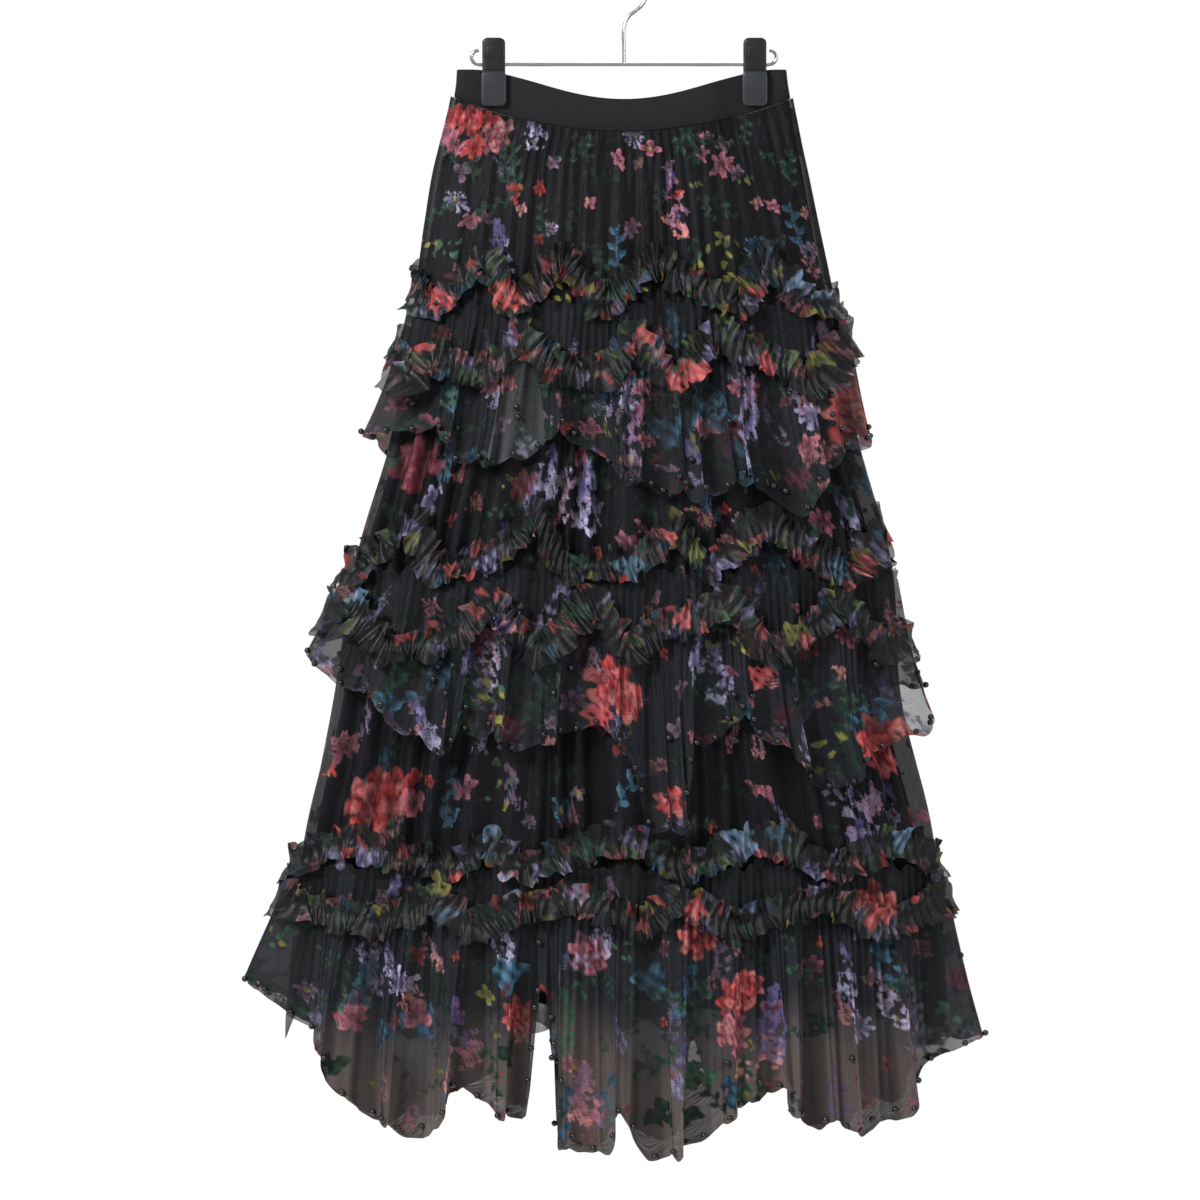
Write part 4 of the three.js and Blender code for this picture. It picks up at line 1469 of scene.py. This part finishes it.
# Where large printed flowers fall on the ruches: across, height, radius, and colours if not coral
PATCHES = {
    "tier_1": [
        (-156, -281, 14),
        (-110, -276, 13),
        (-93, -281, 14),
        (48, -353, 18),
        (65, -344, 15),
        (120, -340, 15),
        (-42, -319, 12, DEEP_CORAL),
        (22, -310, 12),
        (-173, -306, 14, VIOLET, PALE),
        (-110, -310, 14, VIOLET, PALE),
        (56, -298, 14, VIOLET, PALE),
        (167, -272, 12, BLUE, PALE),
        (150, -264, 12, BLUE, PALE),
        (95, -268, 11, OLIVE, LEAF),
        (-180, -250, 14, LEAF, OLIVE),
        (160, -330, 13, OLIVE, LEAF),
        (-10, -275, 13, DEEP_LEAF, LEAF),
    ],
    "tier_2": [
        (-199, -528, 15, BLUE, PALE),
        (-116, -505, 14, VIOLET, PALE),
        (-120, -475, 13, DEEP_BLUE, MAUVE),
        (5, -510, 16, BLUE, LEAF),
        (10, -485, 14, DEEP_LEAF, BLUE),
        (82, -510, 14, VIOLET, PALE),
        (60, -495, 12, OLIVE, LEAF),
        (75, -588, 12, VIOLET, PALE),
        (180, -510, 14, DEEP_BLUE, BLUE),
        (140, -560, 14, OLIVE, DEEP_LEAF),
        (-110, -560, 13, VIOLET, BLUSH),
        (50, -550, 12, CORAL),
        (-40, -500, 13, DEEP_LEAF, LEAF),
    ],
    "tier_3": [
        (-110, -725, 15, BLUE, PALE),
        (-100, -775, 14, BLUE, BLUSH),
        (100, -735, 18, BLUE, PALE),
        (130, -730, 14, DEEP_BLUE, BLUE),
        (-220, -755, 14, VIOLET, PALE),
        (160, -770, 14, VIOLET, PALE),
        (-155, -775, 13, OLIVE, LEAF),
        (20, -790, 12, OLIVE, LEAF),
        (60, -795, 13),
        (215, -800, 16, CORAL),
        (-40, -780, 13, MAUVE, PALE),
        (235, -735, 14, BLUE, PALE),
        (-30, -745, 14, DEEP_LEAF, LEAF),
        (25, -725, 12, VIOLET, CORAL),
    ],
}
STREWN = [
    (daisy, 9, {"petal": CORAL}),
    (daisy, 9, {"petal": ROSY}),
    (fringe, 10),
    (fringe, 9, {"petal": PINK, "tip": BLUSH}),
    (sprig, 14),
    (blot, 7, {"colour": OLIVE, "light": YOLK}),
    (blot, 9),
    (blot, 10, {"colour": VIOLET, "light": PALE}),
    (blot, 9, {"colour": DEEP_BLUE, "light": BLUE}),
    (blot, 9, {"colour": LEAF, "light": OLIVE}),
    (blot, 10, {"colour": DEEP_LEAF, "light": LEAF}),
    (blot, 10, {"colour": DEEP_LEAF, "light": DEEP_LEAF}),
]


def patches_of(tier):
    """The tier's patches as flowers of the print."""
    made = []
    for across, height, size, *tones in PATCHES[tier["name"]]:
        made.append((blot, across, height, size, dict(zip(("colour", "light"), tones))))
    return made


for number, tier in enumerate(TIERS):
    for place in ("upper", "lower"):
        seed = 100 + 10 * number + (5 if place == "upper" else 0)
        points, turns, z, width, painted_fold_shading = ruche_points(tier, place, seed)
        strewn = scatter(points, seed, 230, tier["seam"] - 60, tier["seam"] + 60, STREWN)
        flowers = strewn + both_faces(patches_of(tier))
        paint = print_sheet(points, True, turns, flowers, seed, 0.4)
        dense = fold_density(points, True, turns, z)
        name = tier["name"] + "_frilled_ruche_" + place
        piece = cloth(name, points, True, RUCHED, paint, dense, painted_fold_shading, width)
        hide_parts(tier["name"] + "_ruche_" + place)

# Beads

BEAD_RADIUS = 2.7


def bead_shape():
    """The points and faces of one bead."""
    bpy.ops.object.select_all(action="DESELECT")
    bpy.ops.mesh.primitive_uv_sphere_add(segments=8, ring_count=6, radius=BEAD_RADIUS * MM)
    bead = bpy.context.object
    places = np.array([v.co[:] for v in bead.data.vertices])
    faces = [tuple(face.vertices) for face in bead.data.polygons]
    bpy.data.objects.remove(bead)
    return places, faces


BEAD_PLACES, BEAD_FACES = bead_shape()


def beads(name, spots):
    """Copies of one bead at places on the cloth, as one piece."""
    places = []
    faces = []
    for spot in spots:
        first = len(places) * len(BEAD_PLACES)
        places.append(BEAD_PLACES + spot * MM)
        faces += [tuple(first + k for k in face) for face in BEAD_FACES]
    mesh = bpy.data.meshes.new(name)
    mesh.from_pydata(np.concatenate(places).tolist(), [], faces)
    mesh.polygons.foreach_set("use_smooth", np.ones(len(faces), bool))
    mesh.materials.append(BEAD)
    piece = bpy.data.objects.new(name, mesh)
    bpy.context.scene.collection.objects.link(piece)
    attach(piece, "root")
    return piece


def bead_spots(points, seed, scattered):
    """Along the hem at uneven steps, and a few strewn above it, each on the cloth's outside."""
    rng = np.random.default_rng(seed)
    outward = facing(points, True)
    hem = row_lengths(points)[:, -1]
    spots = []
    at = 5.0
    while at < hem[-1]:
        i = int(np.searchsorted(hem, at))
        row = -2 if rng.uniform() < 0.8 else -4
        spots.append(points[i, row] + outward[i, row] * BEAD_RADIUS * 0.9)
        at += rng.uniform(19, 40)
    for _ in range(scattered):
        i = int(rng.integers(points.shape[0]))
        j = int(points.shape[1] * rng.uniform(0.45, 0.96))
        spots.append(points[i, j] + outward[i, j] * BEAD_RADIUS * 0.9)
    return spots


for number, tier in enumerate(TIERS):
    spots = bead_spots(flounces[tier["name"]], 200 + number, tier["beads"])
    beads(tier["name"] + "_beads", spots)

# Hanger

WIRE_RADIUS = 1.5
RAIL_Z = -80.6
HOOK_RADIUS = 18
# The rail's bent end: across, and height over the rail
RAIL_END = [(118, 0), (123.6, 0), (128, 2.2), (129.5, 6.2), (128, 10.2), (123.6, 12.2)]
# Down from the hook's bend to the rail: across and height
HOOK_STEM = [(3.2, -41), (0, -50), (0, -66), (0, RAIL_Z)]
CLIP_PLACES = {"clip_left": -110.7, "clip_right": 111.2}
# A clip's plates: distance out, height, size across, through and up, corner radius and soft edge
CLIP_TOP = (0, -68.0, (19.0, 17.6, 19.6), 4.5, 1.6)
CLIP_LEG = (6.3, -87.5, (19.4, 4.2, 57.0), 3.2, 1.2)
CLIP_PRESS = (8.2, -70.0, (12.0, 1.6, 10.0), 2.4, 0.6)
CLIP_RIDGE = (8.6, -84.4, (15.0, 1.2, 1.8), 0.5, 0.4)
CLIP_PAD = (6.1, -101.5, (21.4, 5.6, 29.8), 4.0, 1.5)


def bent_wire(name, route):
    """Round wire along a smooth curve through places in the hanger's plane."""
    curve = bpy.data.curves.new(name, "CURVE")
    curve.dimensions = "3D"
    curve.bevel_depth = WIRE_RADIUS * MM
    curve.bevel_resolution = 4
    curve.resolution_u = 8
    curve.use_fill_caps = True
    spline = curve.splines.new("BEZIER")
    spline.bezier_points.add(len(route) - 1)
    for point, (x, z) in zip(spline.bezier_points, route):
        point.co = (x * MM, 0, z * MM)
        point.handle_left_type = point.handle_right_type = "AUTO"
    wire = bpy.data.objects.new(name, curve)
    bpy.context.scene.collection.objects.link(wire)
    select_only(wire)
    bpy.ops.object.convert(target="MESH")
    bpy.ops.object.shade_smooth()
    return bpy.context.object


def hanger_frame():
    right = [(x, RAIL_Z + rise) for x, rise in RAIL_END]
    left = [(-x, z) for x, z in reversed(right)]
    rail = bent_wire("rail", left + [(0, RAIL_Z)] + right)
    radius = HOOK_RADIUS + WIRE_RADIUS
    route = []
    for degrees in range(200, -56, -15):
        angle = math.radians(degrees)
        route.append((radius * math.cos(angle), radius * math.sin(angle) - HOOK_RADIUS))
    hook = bent_wire("hook", route + HOOK_STEM)
    select_only(rail)
    hook.select_set(True)
    bpy.ops.object.join()
    rail.name = "wire_hanger"
    rail.data.materials.clear()
    rail.data.materials.append(WIRE)
    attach(rail, "root")
    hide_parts("hanger_frame")


def plate(x, face, kind):
    """A moulded plate of one of the clip's kinds on a face, -1 for the front: round corners seen from
    the front, and softened edges."""
    out, z, size, corner, edge = kind
    bpy.ops.object.select_all(action="DESELECT")
    place = (x * MM, face * out * MM, z * MM)
    bpy.ops.mesh.primitive_cube_add(size=1, location=place, scale=tuple(c * MM for c in size))
    piece = bpy.context.object
    bpy.ops.object.transform_apply(location=True, rotation=True, scale=True)
    mesh = piece.data
    bpy.ops.object.mode_set(mode="EDIT")
    bpy.ops.mesh.select_all(action="DESELECT")
    bpy.ops.mesh.select_mode(type="EDGE")
    bpy.ops.object.mode_set(mode="OBJECT")
    for line in mesh.edges:
        start, end = (mesh.vertices[k].co for k in line.vertices)
        line.select = abs(start.y - end.y) > 1e-5
    bpy.ops.object.mode_set(mode="EDIT")
    bpy.ops.mesh.bevel(offset=corner * MM, segments=5, affect="EDGES")
    bpy.ops.object.mode_set(mode="OBJECT")
    soften = piece.modifiers.new("soften", "BEVEL")
    soften.width = edge * MM
    soften.segments = 3
    soften.limit_method = "ANGLE"
    soften.angle_limit = math.radians(50)
    bpy.ops.object.modifier_apply(modifier="soften")
    bpy.ops.object.shade_smooth_by_angle(angle=math.radians(35))
    return piece


def join_as(name, parts, material):
    select_only(parts[0])
    for part in parts[1:]:
        part.select_set(True)
    bpy.ops.object.join()
    piece = parts[0]
    piece.name = name
    piece.data.materials.clear()
    piece.data.materials.append(material)
    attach(piece, "root")
    return piece


def clip(node, x):
    """Two legs under a closed top, and a pad on each leg that bears on the band."""
    body = [plate(x, 1, CLIP_TOP)]
    pads = []
    for face in (-1, 1):
        body += [plate(x, face, CLIP_LEG), plate(x, face, CLIP_PRESS)]
        pads.append(plate(x, face, CLIP_PAD))
        body.append(plate(x, face, CLIP_RIDGE))
    shell = join_as(node + "_legs", body, PLASTIC)
    join_as(node + "_pads", pads, PAD)
    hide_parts(node)


hanger_frame()
for node, x in CLIP_PLACES.items():
    clip(node, x)

# Stage, light and camera

FLOOR_Z = -1.25


def stage_floor():
    bpy.ops.object.select_all(action="DESELECT")
    bpy.ops.mesh.primitive_circle_add(vertices=96, radius=1.0, fill_type="NGON", location=(0, 0, 0))
    floor = bpy.context.object
    floor.name = "floor"
    floor.data.transform(Matrix.Translation((0, 0, FLOOR_Z)))
    material, _, shader = new_material("pale_floor", 0.7)
    shader.inputs["Base Color"].default_value = (0.8, 0.8, 0.79, 1)
    floor.data.materials.append(material)


def area_light(name, place, aim, size, energy):
    light = bpy.data.lights.new(name, "AREA")
    light.shape = "SQUARE"
    light.size = size
    light.energy = energy
    lamp = bpy.data.objects.new(name, light)
    bpy.context.scene.collection.objects.link(lamp)
    lamp.location = place
    lamp.rotation_euler = (Vector(aim) - Vector(place)).to_track_quat("-Z", "Y").to_euler()


stage_floor()
area_light("key", (-1.7, -2.0, 1.0), (0, 0, -0.5), 0.9, 72)
area_light("fill", (2.0, -1.7, -0.1), (0, 0, -0.6), 1.4, 14)
area_light("rim", (0.6, 2.0, 0.8), (0, 0, -0.5), 1.4, 26)
world = bpy.data.worlds.new("studio")
bpy.context.scene.world = world
world.use_nodes = True
sky = world.node_tree.nodes["Background"]
sky.inputs["Color"].default_value = (1, 1, 1, 1)
# The backdrop is white, and its light on the skirt is softer than that
SKY_LIGHT = 0.34
ray = world.node_tree.nodes.new("ShaderNodeLightPath").outputs["Is Camera Ray"]
strength = math_node(world.node_tree, "MULTIPLY_ADD", ray, 1 - SKY_LIGHT, SKY_LIGHT)
world.node_tree.links.new(strength, sky.inputs["Strength"])
bpy.context.scene.view_settings.view_transform = "Standard"
bpy.context.scene.cycles.transparent_max_bounces = 24

# 7 m away, so that the frame is 1.02 m across at the skirt
CAMERA_PLACE = (-0.0204, -7.0, -0.5357)
CAMERA_LENS = 247.1
camera_data = bpy.data.cameras.new("camera")
camera_data.lens = CAMERA_LENS
camera_data.sensor_width = 36
camera = bpy.data.objects.new("camera", camera_data)
bpy.context.scene.collection.objects.link(camera)
camera.location = CAMERA_PLACE
camera.rotation_euler = (math.pi / 2, 0, 0)
bpy.context.scene.camera = camera
